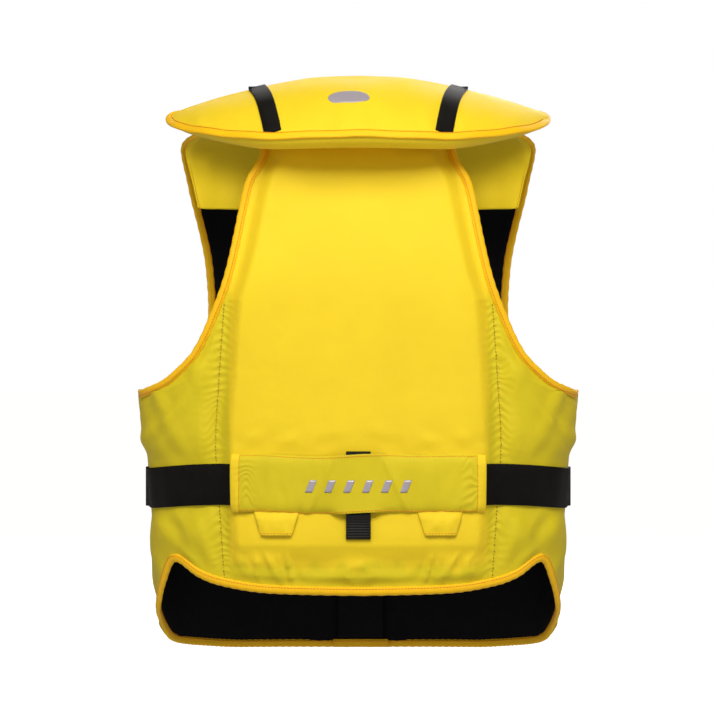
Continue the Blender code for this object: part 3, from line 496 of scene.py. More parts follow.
def stitches(name, path, up, material, pitch=0.0036, length=0.0027, width=0.0010):
    """A line of thread stitches lying along a path."""
    lift = 0.0002
    run = run_of(path)
    count = max(2, int(run[-1] / pitch))
    at = (np.arange(count) + 0.5) * run[-1] / count
    middle = sampled(path, at, run)
    normal = unit(sampled(up, at, run))
    forward = unit(sampled(tangents(path), at, run))
    across = unit(np.cross(forward, normal))
    bead = []
    for reach, size in ((-0.5, 0.35), (-0.3, 1.0), (0.3, 1.0), (0.5, 0.35)):
        for a, b in ((1, 0), (0, 1), (-1, 0), (0, -1)):
            bead.append((reach * length, a * size * width / 2, lift + b * size * width / 2))
    bead = np.array(bead)
    faces = []
    for first in (0, 4, 8):
        for k in range(4):
            n = (k + 1) % 4
            faces.append((first + k, first + n, first + 4 + n, first + 4 + k))
    faces += [(3, 2, 1, 0), (12, 13, 14, 15)]
    vertices = (middle[:, None] + forward[:, None] * bead[None, :, :1] + across[:, None] * bead[None, :, 1:2]
                + normal[:, None] * bead[None, :, 2:])
    every = np.concatenate([np.array(faces) + len(bead) * k for k in range(count)])
    return face_out(object_from(name, vertices.reshape(-1, 3), every, None, material))


# ================================================================ materials
def new_material(name):
    made = bpy.data.materials.new(name)
    made.use_nodes = True
    tree = made.node_tree
    return made, tree, tree.nodes["Principled BSDF"]


def set_sockets(node, **values):
    for name, value in values.items():
        node.inputs[name.replace("_", " ")].default_value = value


def coordinates(tree, kind="Object", scale=(1, 1, 1)):
    source = tree.nodes.new("ShaderNodeTexCoord")
    mapping = tree.nodes.new("ShaderNodeMapping")
    set_sockets(mapping, Scale=scale)
    tree.links.new(source.outputs[kind], mapping.inputs["Vector"])
    return mapping.outputs["Vector"]


def noise_texture(tree, vector, scale, detail=3.0, roughness=0.5):
    made = tree.nodes.new("ShaderNodeTexNoise")
    set_sockets(made, Scale=scale, Detail=detail, Roughness=roughness)
    tree.links.new(vector, made.inputs["Vector"])
    return made.outputs["Fac"]


def wave_texture(tree, vector, scale, direction):
    made = tree.nodes.new("ShaderNodeTexWave")
    made.wave_type = "BANDS"
    made.bands_direction = direction
    set_sockets(made, Scale=scale, Distortion=0.3)
    tree.links.new(vector, made.inputs["Vector"])
    return made.outputs["Fac"]


def math_node(tree, operation, *values):
    made = tree.nodes.new("ShaderNodeMath")
    made.operation = operation
    for socket, value in zip(made.inputs, values):
        if isinstance(value, (int, float)):
            socket.default_value = value
        else:
            tree.links.new(value, socket)
    return made.outputs[0]


def map_range(tree, value, low, high):
    made = tree.nodes.new("ShaderNodeMapRange")
    made.interpolation_type = "SMOOTHSTEP"
    set_sockets(made, From_Min=low, From_Max=high)
    tree.links.new(value, made.inputs["Value"])
    return made.outputs["Result"]


def mottle(tree, shader, pattern, low, high, full=0.7):
    """Colour that wanders between two tones."""
    made = tree.nodes.new("ShaderNodeValToRGB")
    for element, position, colour in zip(made.color_ramp.elements, (0.3, full), (low, high)):
        element.position = position
        element.color = (*colour, 1.0)
    tree.links.new(pattern, made.inputs["Fac"])
    tree.links.new(made.outputs["Color"], shader.inputs["Base Color"])


def vary_roughness(tree, shader, pattern, roughness):
    varied = math_node(tree, "MULTIPLY_ADD", pattern, 0.2, roughness - 0.1)
    tree.links.new(varied, shader.inputs["Roughness"])


def bump(tree, shader, height, strength, distance, below=None):
    made = tree.nodes.new("ShaderNodeBump")
    set_sockets(made, Strength=strength, Distance=distance)
    tree.links.new(height, made.inputs["Height"])
    if below is not None:
        tree.links.new(below, made.inputs["Normal"])
    tree.links.new(made.outputs["Normal"], shader.inputs["Normal"])
    return made.outputs["Normal"]


def shade(colour, factor):
    return tuple(min(1.0, c * factor) for c in colour)


def fabric(name, colour, roughness=0.6, weave=900.0, sheen=0.04, crinkle=0.5, spread=0.06, gloss=0.25):
    """Coated woven nylon: a fine basket weave, faint crinkles and a little colour variation."""
    made, tree, shader = new_material(name)
    metres, body = coordinates(tree, "UV"), coordinates(tree)
    warp = wave_texture(tree, metres, weave, "X")
    weft = wave_texture(tree, metres, weave, "Y")
    crinkles = noise_texture(tree, body, 55.0, 4.0, 0.6)
    mottle(tree, shader, noise_texture(tree, body, 14.0), shade(colour, 1 - spread), colour)
    vary_roughness(tree, shader, crinkles, roughness)
    soft = bump(tree, shader, crinkles, crinkle, 0.0012)
    bump(tree, shader, math_node(tree, "MULTIPLY", warp, weft), 0.35, 0.00025, soft)
    set_sockets(shader, Sheen_Weight=sheen, Sheen_Roughness=0.4, Specular_IOR_Level=gloss)
    return made


def paint_shade_on_sides(made):
    """Painted shade: outside the filled middle, past the seams and under the filling, the back blends to the
    darker shaded copy of the same nylon.
    """
    tree = made.node_tree
    shader = tree.nodes["Principled BSDF"]
    bright = shader.inputs["Base Color"].links[0].from_socket
    split = tree.nodes.new("ShaderNodeSeparateXYZ")
    tree.links.new(coordinates(tree), split.inputs[0])
    ragged = noise_texture(tree, coordinates(tree, scale=(1, 1, 0.35)), 40.0, 2.0)
    across = math_node(tree, "ABSOLUTE", split.outputs["X"])
    shift = math_node(tree, "MULTIPLY", ragged, 0.008)
    # painted shade masks: the sides past the princess seams, and the strip below the insert's end
    side = map_range(tree, math_node(tree, "ADD", across, shift), 0.1445, 0.1510)
    down = math_node(tree, "MULTIPLY", split.outputs["Z"], -1.0)
    drift = math_node(tree, "MULTIPLY", ragged, 0.040)
    below = map_range(tree, math_node(tree, "ADD", down, drift), 0.511, 0.524)
    blend = tree.nodes.new("ShaderNodeMix")
    blend.data_type = "RGBA"
    tree.links.new(math_node(tree, "MAXIMUM", side, below), blend.inputs["Factor"])
    colours = [socket for socket in blend.inputs if socket.type == "RGBA"]
    tree.links.new(bright, colours[0])
    colours[1].default_value = (*SHADED_YELLOW_TONE, 1.0)
    blended = [socket for socket in blend.outputs if socket.type == "RGBA"]
    tree.links.new(blended[0], shader.inputs["Base Color"])


def webbing(name, colour, rib=0.0016, gloss=0.12):
    """Woven strap: ribs across its length and a finer grain."""
    made, tree, shader = new_material(name)
    body = coordinates(tree)
    ribs = wave_texture(tree, coordinates(tree, "UV"), 0.314 / rib, "X")
    worn = tuple(c * 2.2 + 0.001 for c in colour)
    mottle(tree, shader, noise_texture(tree, body, 30.0), colour, worn, 0.75)
    fine = bump(tree, shader, noise_texture(tree, body, 900.0, 2.0), 0.4, 0.0003)
    bump(tree, shader, ribs, 0.7, 0.0006, fine)
    set_sockets(shader, Roughness=0.55, Specular_IOR_Level=gloss)
    return made


def moulded(name, colour, roughness=0.4, metallic=0.0):
    """Moulded plastic or drawn metal with a fine surface grain and small roughness changes."""
    made, tree, shader = new_material(name)
    body = coordinates(tree)
    grit = noise_texture(tree, body, 350.0)
    mottle(tree, shader, noise_texture(tree, body, 40.0), shade(colour, 0.85), colour)
    vary_roughness(tree, shader, grit, roughness)
    bump(tree, shader, grit, 0.25, 0.0002)
    set_sockets(shader, Metallic=metallic)
    return made


def reflective(name):
    """Grey retroreflective film: a fine bead texture with a pearly gloss."""
    made, tree, shader = new_material(name)
    beads = noise_texture(tree, coordinates(tree), 1400.0, 2.0)
    mottle(tree, shader, beads, (0.33, 0.30, 0.34), (0.50, 0.46, 0.52))
    bump(tree, shader, beads, 0.2, 0.0002)
    set_sockets(shader, Roughness=0.38, Metallic=0.25)
    return made


YELLOW_TONE = (0.89, 0.64, 0.014)
# painted shade: the tone below is the yellow nylon made darker and greener, a shaded copy of the same cloth rather
# than a different one
SHADED_YELLOW_TONE = (0.69, 0.555, 0.010)
ORANGE_TONE = (0.98, 0.56, 0.004)
YELLOW = fabric("yellow_nylon", YELLOW_TONE)
# shaded copy of the yellow nylon (painted shade), used whole on the fronts, sleeve and yokes
SHADED_YELLOW = fabric("yellow_nylon_painted_shade", SHADED_YELLOW_TONE, spread=0.09)
# the back's yellow nylon, with painted shade blended in on its sides and below the insert
BACK_NYLON_WITH_PAINTED_SHADE = fabric("yellow_back_nylon_painted_shade", YELLOW_TONE)
paint_shade_on_sides(BACK_NYLON_WITH_PAINTED_SHADE)
ORANGE = fabric("orange_binding_tape", ORANGE_TONE, 0.55, weave=1500.0, crinkle=0.3)
THREAD = moulded("orange_thread", (0.80, 0.27, 0.004), 0.7)
# painted shade: the princess seams' stitches are real thread, but their dark brown stands in for the shade in the
# needle-hole dimples
SEAM_THREAD_PAINTED_SHADE = moulded("seam_thread_painted_dimple_shade", (0.34, 0.20, 0.01), 0.7)
LINING = fabric("black_lining_nylon", (0.0012, 0.0012, 0.0028), 0.6, sheen=0.0, crinkle=0.6, gloss=0.12)
BLACK_WEB = webbing("black_webbing", (0.0018, 0.0016, 0.0012))
RIBBED_WEB = webbing("black_ribbed_webbing", (0.003, 0.0028, 0.0024), 0.003, gloss=0.2)
REFLECTIVE = reflective("reflective_film")
BLACK_PLASTIC = moulded("black_acetal", (0.012, 0.012, 0.013), 0.42)
RED_PLASTIC = moulded("red_acetal", (0.62, 0.02, 0.015), 0.38)
WHITE_PLASTIC = moulded("white_plastic", (0.78, 0.78, 0.75), 0.4)
STEEL = moulded("zinc_steel", (0.55, 0.56, 0.58), 0.32, 1.0)


# ================================================================ what holds a piece
COLLAR = ("collar_flap", -0.070, -0.112)


def on_front(side):
    """Holder of fabric that starts at the side seam of a front: the front's name and two places along Y."""
    return f"front_{side}", 0.0, 0.085


def attach(piece, holder, slot, *nodes):
    """Rides a piece on a body, or, for a holder of a body and two places along Y, only bakes its transform."""
    if isinstance(holder, str):
        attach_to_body(piece, holder)
    else:
        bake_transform(piece)
    if nodes:
        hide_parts(*nodes)


# ================================================================ back
def rows_of(bottom, top, below, above):
    low = np.linspace(0, 1, below, endpoint=False)
    high = np.linspace(0, 1, above)
    return np.concatenate([mix(bottom, UNDERARM, low), mix(UNDERARM, top, high)])


def back_grid(columns, below, above):
    heights = rows_of(HEM_Z + EDGE_INSET, BACK_TOP, below, above)[:, None]
    u = np.linspace(-1, 1, columns)[None, :]
    edge = back_edge_angle(heights)
    calm = calm_edge(back_edge_angle, heights)
    angle = u * calm + np.sign(u) * np.abs(u) ** 5 * (edge - calm)
    return angle, heights + hem_shift(angle, heights)


def make_back():
    angle, height = back_grid(281, 130, 190)
    lift = back_rise(angle, height) + back_wrinkles(angle, height)
    points, normals = laid(angle, height, np.maximum(lift, LEAST_RISE))
    panel = cloth("back_panel", points, normals, SHELL_THICK, BACK_NYLON_WITH_PAINTED_SHADE)
    attach(panel, "back", "yellow_fabric", "back_outer_shell", "back_insert_pad")

    points, normals = laid(*back_grid(61, 40, 50), SHELL_THICK)
    lining = cloth("back_lining_cloth", points, normals, LINING_THICK, LINING)
    attach(lining, "back", "black_lining", "back_lining")

    for name, side in SIDES:
        line = armhole_line(back_armhole, side, False, BACK_TOP)
        edge_binding(f"back_armhole_tape_{name}", *line, "back", f"back_armhole_binding_{name}")
    edge_binding("back_hem_tape", *hem_line(np.linspace(-SIDE, SIDE, 420)), "back", "back_hem_binding")
    princess_stitching()
    make_yokes()


def armhole_line(outline, side, front, top):
    """Outer edge of an armhole: points, surface normals and the way out of the panel."""
    bend = UNDERARM + 0.03
    steps = np.concatenate([np.linspace(UNDERARM, bend, 60, endpoint=False), np.linspace(bend, top, 160)])
    x = outline(steps)
    at = angle_of(x, steps)
    points, normals = laid(math.pi - at if front else at, steps, EDGE_LINE)
    # the last of the tape stands a little outside the side seam
    points[:, 0] += np.maximum(0.0, x - half_width(steps)) * 0.4
    flip = np.array([side, 1, 1])
    points, normals = points * flip, normals * flip
    way = unit(np.cross(tangents(points), normals))
    return points, normals, way * np.sign((way * np.array([side, 0, 0.35])).sum(-1, keepdims=True))


def hem_line(angle):
    points, normals = laid(angle, HEM_Z + hem_shift(angle, HEM_Z), EDGE_LINE)
    way = unit(np.cross(tangents(points), normals))
    return points, normals, way * np.sign(-way[:, 2:3])


def edge_binding(name, points, normals, way, holder, node):
    """Folded tape over a panel's edge, with its lines of stitches outside and inside."""
    centre = points - way * BINDING / 2 - normals * 0.0012
    wobble = 0.00025 * np.sin(np.arange(len(points)) * 0.9)
    profile = rounded_band(BINDING, TAPE_THICK, TAPE_CROWN)
    tape = sweep(name, centre + way * wobble[:, None], way, normals, profile, ORANGE)
    attach(tape, holder, "orange_binding", node)
    seam = points - way * (BINDING - STITCH_INSET)
    rows = (("", seam + normals * 0.0041, normals), ("_inner", seam - normals * 0.0014, -normals))
    for label, line, out in rows:
        attach(stitches(f"{name}{label}_stitches", line, out, THREAD), holder, "orange_binding")


def princess_stitching():
    heights = np.linspace(-0.522, -0.206, 160)
    for name, side in SIDES:
        angle = side * angle_of(princess_seam(heights), heights)
        line = laid(angle, heights, back_rise(angle, heights) + back_wrinkles(angle, heights))
        # stitch beads coloured with painted dimple shade
        line = stitches(f"princess_stitches_{name}", *line, SEAM_THREAD_PAINTED_SHADE, pitch=0.0040, length=0.0023, width=0.0013)
        attach(line, "back", "orange_binding")


def make_yokes():
    heights = np.linspace(BACK_TOP, SHOULDER_LINE - 0.0006, 30)[:, None]
    share = np.linspace(0, 1, 24)[None, :]
    grow = (heights - BACK_TOP) / (SHOULDER_LINE - BACK_TOP)
    inner = angle_of(mix(0.050, NECK_HALF, grow), heights)
    outer = angle_of(back_armhole(heights), heights)
    angle = mix(inner, outer, share)
    height = heights + 0 * share
    yoke_grid = laid(angle, height, 0.0040)
    for name, _ in SIDES:
        yoke = cloth(f"shoulder_yoke_cloth_{name}", *for_side(*yoke_grid, name), 0.0042, SHADED_YELLOW)
        attach(yoke, "back", "yellow_fabric", f"shoulder_yoke_{name}")


# ================================================================ belt, sleeve and loops at the back
BELT_LIFT = 0.0011
BELT_THICK = 0.0018
SLEEVE_LIFT = 0.0066
SLEEVE_OVER_LOOP = 0.0086


def make_belt_back():
    angle = np.linspace(-SIDE, SIDE, 260)
    height = belt_height(angle)
    out = back_rise(angle, height) + BELT_LIFT
    out = out + 0.0004 * np.sin(angle * 23)
    centre, normals = laid(angle, height, out)
    upward = unit(np.cross(normals, tangents(centre)))
    profile = rounded_band(BELT_HEIGHT, BELT_THICK)
    belt = sweep("belt_back_strap", centre, upward, normals, profile, BLACK_WEB)
    attach(belt, "back", "black_webbing", "belt_back_webbing")
    make_sleeve()
    make_centre_loop()
    for name, side in SIDES:
        make_tab(name, side)


def sleeve_lift(x, height):
    share = (height - SLEEVE_BOTTOM) / (SLEEVE_TOP - SLEEVE_BOTTOM)
    arch = 1 - np.abs(2 * share - 1) ** 7
    over_loop = 1 - smoothstep(0.014, 0.036, np.abs(x))
    return mix(mix(0.0012, SLEEVE_LIFT, arch), SLEEVE_OVER_LOOP, over_loop)


def sleeve_folds(x, height):
    """Soft folds of the sleeve, puckers at its end seams and two creases that fan out from the loop."""
    ax = np.abs(x)
    soft = 0.0012 * noise_a(x / 0.018 + 4, height / 0.05) + 0.0006 * noise_b(x / 0.008, height / 0.02)
    ends = np.exp(-((SLEEVE_HALF - 0.016 - ax) / 0.008) ** 2)
    ends = ends * 0.0005 * np.sin(2 * math.pi * height / 0.0085 + 6 * noise_c(x / 0.01, height / 0.02))
    fan = 0.0016 * np.exp(-((ax - 0.026 - 0.45 * (SLEEVE_TOP - height)) / 0.0045) ** 2)
    return (soft + ends) * (0.25 + 0.75 * smoothstep(0.014, 0.030, ax)) + fan


def make_sleeve():
    x = np.linspace(-SLEEVE_HALF, SLEEVE_HALF, 240)[None, :]
    height = np.linspace(SLEEVE_BOTTOM, SLEEVE_TOP, 60)[:, None]
    x, height = np.broadcast_arrays(x, height)
    sag = 0.0010 * np.sin(x * 31) + 0.0008 * np.sin(x * 57 + 1)
    height = height + sag
    angle = signed_angle(x, height)
    out = back_rise(angle, height) + sleeve_lift(x, height) + sleeve_folds(x, height)
    points, normals = laid(angle, height, out)
    sleeve = cloth("belt_sleeve_cloth", points, normals, SHELL_THICK, SHADED_YELLOW)
    attach(sleeve, "back", "yellow_fabric", "belt_sleeve")
    rows, columns = points.shape[:2]
    inset_rows = max(1, int(rows * 0.035))
    for label, row in (("top", rows - 1 - inset_rows), ("bottom", inset_rows)):
        attach(stitches(f"sleeve_stitches_{label}", points[row], normals[row], THREAD), "back", "orange_binding")
    end_hem = int(columns * 0.010 / (2 * SLEEVE_HALF))
    for label, column in (("left", end_hem), ("right", columns - 1 - end_hem)):
        line = stitches(f"sleeve_stitches_{label}", points[:, column], normals[:, column], THREAD)
        attach(line, "back", "orange_binding")
        band = slice(0, column + 1) if label == "left" else slice(column, None)
        fold = cloth(f"sleeve_end_fold_{label}", points[:, band] + normals[:, band] * 0.0009,
                     normals[:, band], SHELL_THICK, YELLOW)
        attach(fold, "back", "yellow_fabric")
    make_marking()


def make_marking():
    """Slanted reflective bars across the middle of the sleeve."""
    count, pitch, width, tall, slant = 6, 0.0205, 0.0075, 0.0135, 0.0050
    columns = np.linspace(-0.5, 0.5, 7)[None, :]
    rows = columns.T
    vertices, faces, start = [], [], 0
    for k in range(count):
        z = BELT_BACK_Z - 0.001 + rows * tall + 0 * columns
        x = (k - (count - 1) / 2) * pitch + columns * width + rows * slant
        angle = signed_angle(x, z)
        out = back_rise(angle, z) + sleeve_lift(x, z) + sleeve_folds(x, z) + 0.0006
        v, f = slab(*laid(angle, z, out), 0.0007)
        vertices.append(v)
        faces.append(f + start)
        start += len(v)
    marking = object_from("sleeve_reflective_bars", np.concatenate(vertices), np.concatenate(faces), None,
                          REFLECTIVE)
    attach(marking, "back", "reflective_tape", "sleeve_reflective_bar")


def make_centre_loop():
    """Ribbed webbing looped round the belt: it shows above the sleeve and hangs below it."""
    top, bottom = -0.3722, -0.4640
    heights = np.linspace(bottom, top, 90)
    shell = laid(0 * heights, heights, back_rise(0 * heights, heights))[0][:, 1]
    inner = shell - 0.0004
    front = shell - 0.0046
    front[:26] = np.linspace(front[26] - 0.0010, front[26], 26)
    inner[:20] = np.minimum(inner[:20], front[:20] + 0.0036)
    down = np.stack([0 * heights, front, heights], -1)[::-1]
    up = np.stack([0 * heights, inner, heights], -1)
    turn = [down[-1] + [0, 0.0016, -0.0012], up[0] + [0, 0, -0.0006]]
    over = [up[-1] + [0, -0.0014, 0.0011]]
    path = np.concatenate([down, turn, up, over])
    spacing, rib = 0.0006, 0.0030
    path = resampled(np.concatenate([path, path[:1]]), spacing)[:-1]
    side = np.tile([1.0, 0, 0], (len(path), 1))
    outward = unit(np.cross(tangents(path), side))
    centre_y = path[:, 1].mean()
    outward = outward * np.sign((outward[:, 1:2] * (path[:, 1:2] - centre_y)).sum() + 1e-9)
    ribs = 0.00050 * np.abs(np.sin(math.pi * np.arange(len(path)) * spacing / rib))
    path = path + outward * ribs[:, None]
    loop = sweep("belt_centre_loop", path, side, outward, rounded_band(0.0272, 0.0013), RIBBED_WEB, closed=True)
    attach(loop, "back", "black_webbing", "back_webbing_loop")


def make_tab(name, side):
    """Fabric loop below the sleeve: creased sides, a stitched lower edge."""
    top, bottom = SLEEVE_BOTTOM + 0.004, -0.4625
    share = np.linspace(0, 1, 26)[:, None]
    u = np.linspace(-1, 1, 44)[None, :]
    height = mix(bottom, top, share) + 0 * u
    half = mix(0.0165, 0.0250, share)
    x = side * 0.0885 + u * half
    angle = signed_angle(x, height)
    swell = 0.0028 * (1 - np.abs(u) ** 4) * np.sin(math.pi * np.clip(share, 0.12, 0.9))
    swell = swell + 0.0007 * noise_b(x / 0.007, height / 0.010)
    shoulder = 0.0022 * (1 - smoothstep(0.6, 1.0, share))
    out = back_rise(angle, height) + back_wrinkles(angle, height) * 0.3 + 0.0010 + swell + shoulder
    points, normals = laid(angle, height, out)
    tab = cloth(f"crotch_strap_tab_{name}", points, normals, 0.0012, YELLOW)
    attach(tab, "back", "yellow_fabric", f"crotch_strap_loop_{name}")
    line = stitches(f"crotch_tab_stitches_{name}", points[2], normals[2], THREAD, width=0.0009)
    attach(line, "back", "orange_binding")


# ================================================================ collar
RIM_X = 0.2205
CLEARANCE = 0.0075
# heights by the angle whose sine is the share of the way to a tip
RIDGE = [(0, 0.0542), (11, 0.0532), (24.6, 0.0466), (35, 0.0398), (46, 0.0330), (57, 0.0261), (71, 0.0190),
         (90, 0.0112)]
RIM = [(0, -0.0243), (24, -0.0258), (36, -0.0225), (55, -0.0127), (67, -0.0055), (90, 0.0112)]
ridge_curve = curve_through(RIDGE)
rim_curve = curve_through(RIM)
belly_curve = curve_through([(0.0, 0.0120), (0.10, 0.0105), (0.157, 0.0060), (0.19, 0.0030), (0.21, 0.0)])


def turn_of(x):
    return np.degrees(np.arcsin(np.clip(np.abs(x) / RIM_X, 0, 1)))


def ridge_z(x):
    return ridge_curve(turn_of(x))


def rim_z(x):
    return rim_curve(turn_of(x))


def ridge_y(x):
    return -0.050 + 0.060 * (x / RIM_X) ** 2


def rim_y(x):
    return ridge_y(x) - 0.003 - 0.127 * np.maximum(0.0, 1 - (np.abs(x) / RIM_X) ** 2.5) ** 0.55


def neck_y(x):
    tip = np.maximum(0.0, 1 - (x / RIM_X) ** 2) ** 0.35
    return ridge_y(x) + (0.014 + 0.020 * smoothstep(0.07, 0.13, np.abs(x))) * tip


def shoulder_height(x, y):
    across = np.maximum(0.05, 1 - (np.abs(x) / HALF_WIDTHS[-1][1]) ** ROUNDNESS) ** (1 / ROUNDNESS)
    share = np.minimum(1.0, np.abs(y) / (0.112 * across))
    return (SHOULDER_START * (1 - np.sqrt(1 - share * share))
            - SHOULDER_SLOPE * np.maximum(0.0, np.abs(x) - NECK_HALF) * (1 - share))


def collar_top(x, y):
    """Upper face behind the ridge."""
    span = np.maximum(1e-6, ridge_y(x) - rim_y(x))
    t = np.clip((ridge_y(x) - y) / span, 0, 1)
    drop = 0.45 * t + 0.55 * t**2.4
    return ridge_z(x) - (ridge_z(x) - rim_z(x)) * drop


def collar_puckers(x, t):
    """Creases that run in from the rim; t is 0 at the ridge and 1 at the rim."""
    near = smoothstep(0.45, 0.95, t) * (1 - 0.7 * smoothstep(0.93, 1.0, t))
    return near * 0.0034 * noise_a(x / 0.0150 + 21, t * 1.5) + 0.0018 * noise_c(x / 0.045, t * 1.6 + 4)


def collar_section(x):
    """Closed ring at one x: rim, upper face, ridge, neck edge and underside."""
    rim = np.array([rim_y(x), rim_z(x)])
    depth = ridge_z(x) - rim_z(x)
    t = np.linspace(1, 0, 34)
    y = ridge_y(x) + (rim_y(x) - ridge_y(x)) * t
    top = collar_top(x, y) + collar_puckers(x, t) * np.sin(math.pi * np.clip(t, 0, 1)) ** 0.3
    upper = np.stack([y, top], -1)
    end = np.array([neck_y(x), ridge_z(x) - 0.16 * depth])
    a = np.linspace(0, math.pi / 2, 8)[1:]
    round_front = np.stack([ridge_y(x) + (end[0] - ridge_y(x)) * np.sin(a),
                            ridge_z(x) + (end[1] - ridge_z(x)) * (1 - np.cos(a))], -1)
    s = np.linspace(1, 0, 44) ** 1.5
    last = np.array([mix(rim[0], end[0], 0.96), end[1] - 0.10 * depth])
    y_low = mix(rim[0], last[0], s)
    swell = np.sqrt(1 - (1 - np.minimum(1.0, s / 0.11)) ** 2) * (1 - smoothstep(0.16, 0.50, s))
    under = rim[1] - belly_curve(np.abs(x)) * swell
    under = under + (last[1] - rim[1]) * smoothstep(0.26, 1.0, s)
    floor = shoulder_height(x, y_low) + CLEARANCE
    lifted = np.maximum(under, floor)
    ceiling = np.interp(y_low, y[np.argsort(y)], top[np.argsort(y)]) - 0.10 * depth
    under = np.where(s > 0.3, np.minimum(lifted, np.maximum(under, ceiling)), under)
    low = np.stack([y_low, under], -1)
    return np.concatenate([upper, round_front, low[:-1]])


def collar_mesh():
    turns = np.radians(np.linspace(-88.5, 88.5, 200))
    xs = RIM_X * np.sin(turns)
    sections = [collar_section(x) for x in xs]
    rings = np.array([[(x, y, z) for y, z in ring] for x, ring in zip(xs, sections)])
    uv = np.stack([rings[..., 0], np.cumsum(np.ones(rings.shape[:2]) * 0.006, 1)], -1).reshape(-1, 2)
    faces = tube_faces(*rings.shape[:2])
    return face_out(object_from("collar_cushion", rings.reshape(-1, 3), faces, uv, YELLOW))


def make_collar():
    cushion = collar_mesh()
    attach(cushion, COLLAR, "yellow_fabric", "collar_upper_shell", "collar_under_shell", "collar_bladder",
              "collar_neck_roll")
    make_rim()
    for name, side in SIDES:
        make_collar_strap(name, side)
    make_collar_patch()


def rim_line():
    """Seam of the collar from one tip round the rear to the other, with the way across its flat band."""
    turn = np.radians(np.linspace(0, 90, 200))
    x = RIM_X * np.sin(turn)
    rear = np.stack([x, rim_y(x), rim_z(x)], -1)
    bend = np.cos(turn)
    across = np.stack([-np.sin(turn) ** 3, 0.7 * bend, 0.62 * bend**0.5 + 0.35], -1)
    share = np.linspace(0, 1, 50)[1:]
    back = np.radians(mix(90, 66, share))
    x = RIM_X * np.sin(back)
    over = np.stack([x, ridge_y(x) + 0.010 * share, ridge_curve(np.degrees(back)) + 0.0008 - 0.004 * share**3], -1)
    start, end = np.array([-1.0, 0.0, 0.35]), np.array([-0.5, -0.6, -0.6])
    half = np.concatenate([rear, over])
    across = np.concatenate([across, start + (end - start) * share[:, None]])
    flip = np.array([-1, 1, 1])
    path = np.concatenate([half[:0:-1] * flip, half])
    across = np.concatenate([across[:0:-1] * flip, across])
    run = run_of(path)
    at = np.linspace(0, run[-1], int(run[-1] / 0.0018))
    path, across = sampled(path, at, run), sampled(across, at, run)
    for _ in range(14):
        path[1:-1] = (path[:-2] + 2 * path[1:-1] + path[2:]) / 4
        across[1:-1] = (across[:-2] + 2 * across[1:-1] + across[2:]) / 4
    return path, across


def make_rim():
    path, across = rim_line()
    forward = tangents(path)
    across = unit(across - forward * (across * forward).sum(-1, keepdims=True))
    up = unit(np.cross(forward, across))
    up = up * np.sign((up * np.array([0, -0.6, 0.8])).sum(-1, keepdims=True))
    path = path + up * (0.0005 * np.sin(np.arange(len(path)) * 0.17))[:, None]
    profile = rounded_band(0.0100, 0.0034, 0.0005)
    centre = path + across * 0.0022 - up * 0.0013
    tape = sweep("collar_rim_tape", centre, across, up, profile, ORANGE)
    attach(tape, COLLAR, "orange_binding", "collar_rim_binding")
    inner = centre + across * 0.0036 + up * 0.0036
    thread = stitches("collar_rim_stitches", inner, up, THREAD)
    attach(thread, COLLAR, "orange_binding")


def surface_on_collar(x, y, lift):
    """Points lifted off the collar's upper face."""
    t = np.clip((ridge_y(x) - y) / np.maximum(1e-6, ridge_y(x) - rim_y(x)), 0, 1)
    step = 0.0008
    here = collar_top(x, y) + collar_puckers(x, t) * np.sin(math.pi * t) ** 0.3
    dy = (collar_top(x, y + step) - collar_top(x, y - step)) / (2 * step)
    dx = (collar_top(x + step, y) - collar_top(x - step, y)) / (2 * step)
    normal = unit(np.stack([-dx, -dy, np.ones_like(dx)], -1))
    point = np.stack([x, y, here], -1)
    return point + normal * lift, normal


def make_collar_strap(name, side):
    share = np.linspace(0, 1, 70)
    middle = side * mix(0.0935, 0.1155, share)
    y = mix(rim_y(middle) + 0.006, ridge_y(middle), share)
    path, normal = surface_on_collar(middle, y, 0.0006)
    over = np.linspace(0, math.pi / 2, 14)[1:]
    last = path[-1]
    front = np.stack([0 * over + last[0], last[1] + 0.0155 * np.sin(over), last[2] - 0.0120 * (1 - np.cos(over))],
                     -1)
    front_normal = unit(np.stack([0 * over, np.sin(over) + 0.15, np.cos(over) + 0.05], -1))
    path = np.concatenate([path, front])
    normal = np.concatenate([normal, front_normal])
    across = unit(np.cross(tangents(path), normal))
    strap = sweep(f"collar_strap_web_{name}", path, across, normal, rounded_band(0.0200, 0.0015), BLACK_WEB)
    attach(strap, COLLAR, "black_webbing", f"collar_strap_{name}")


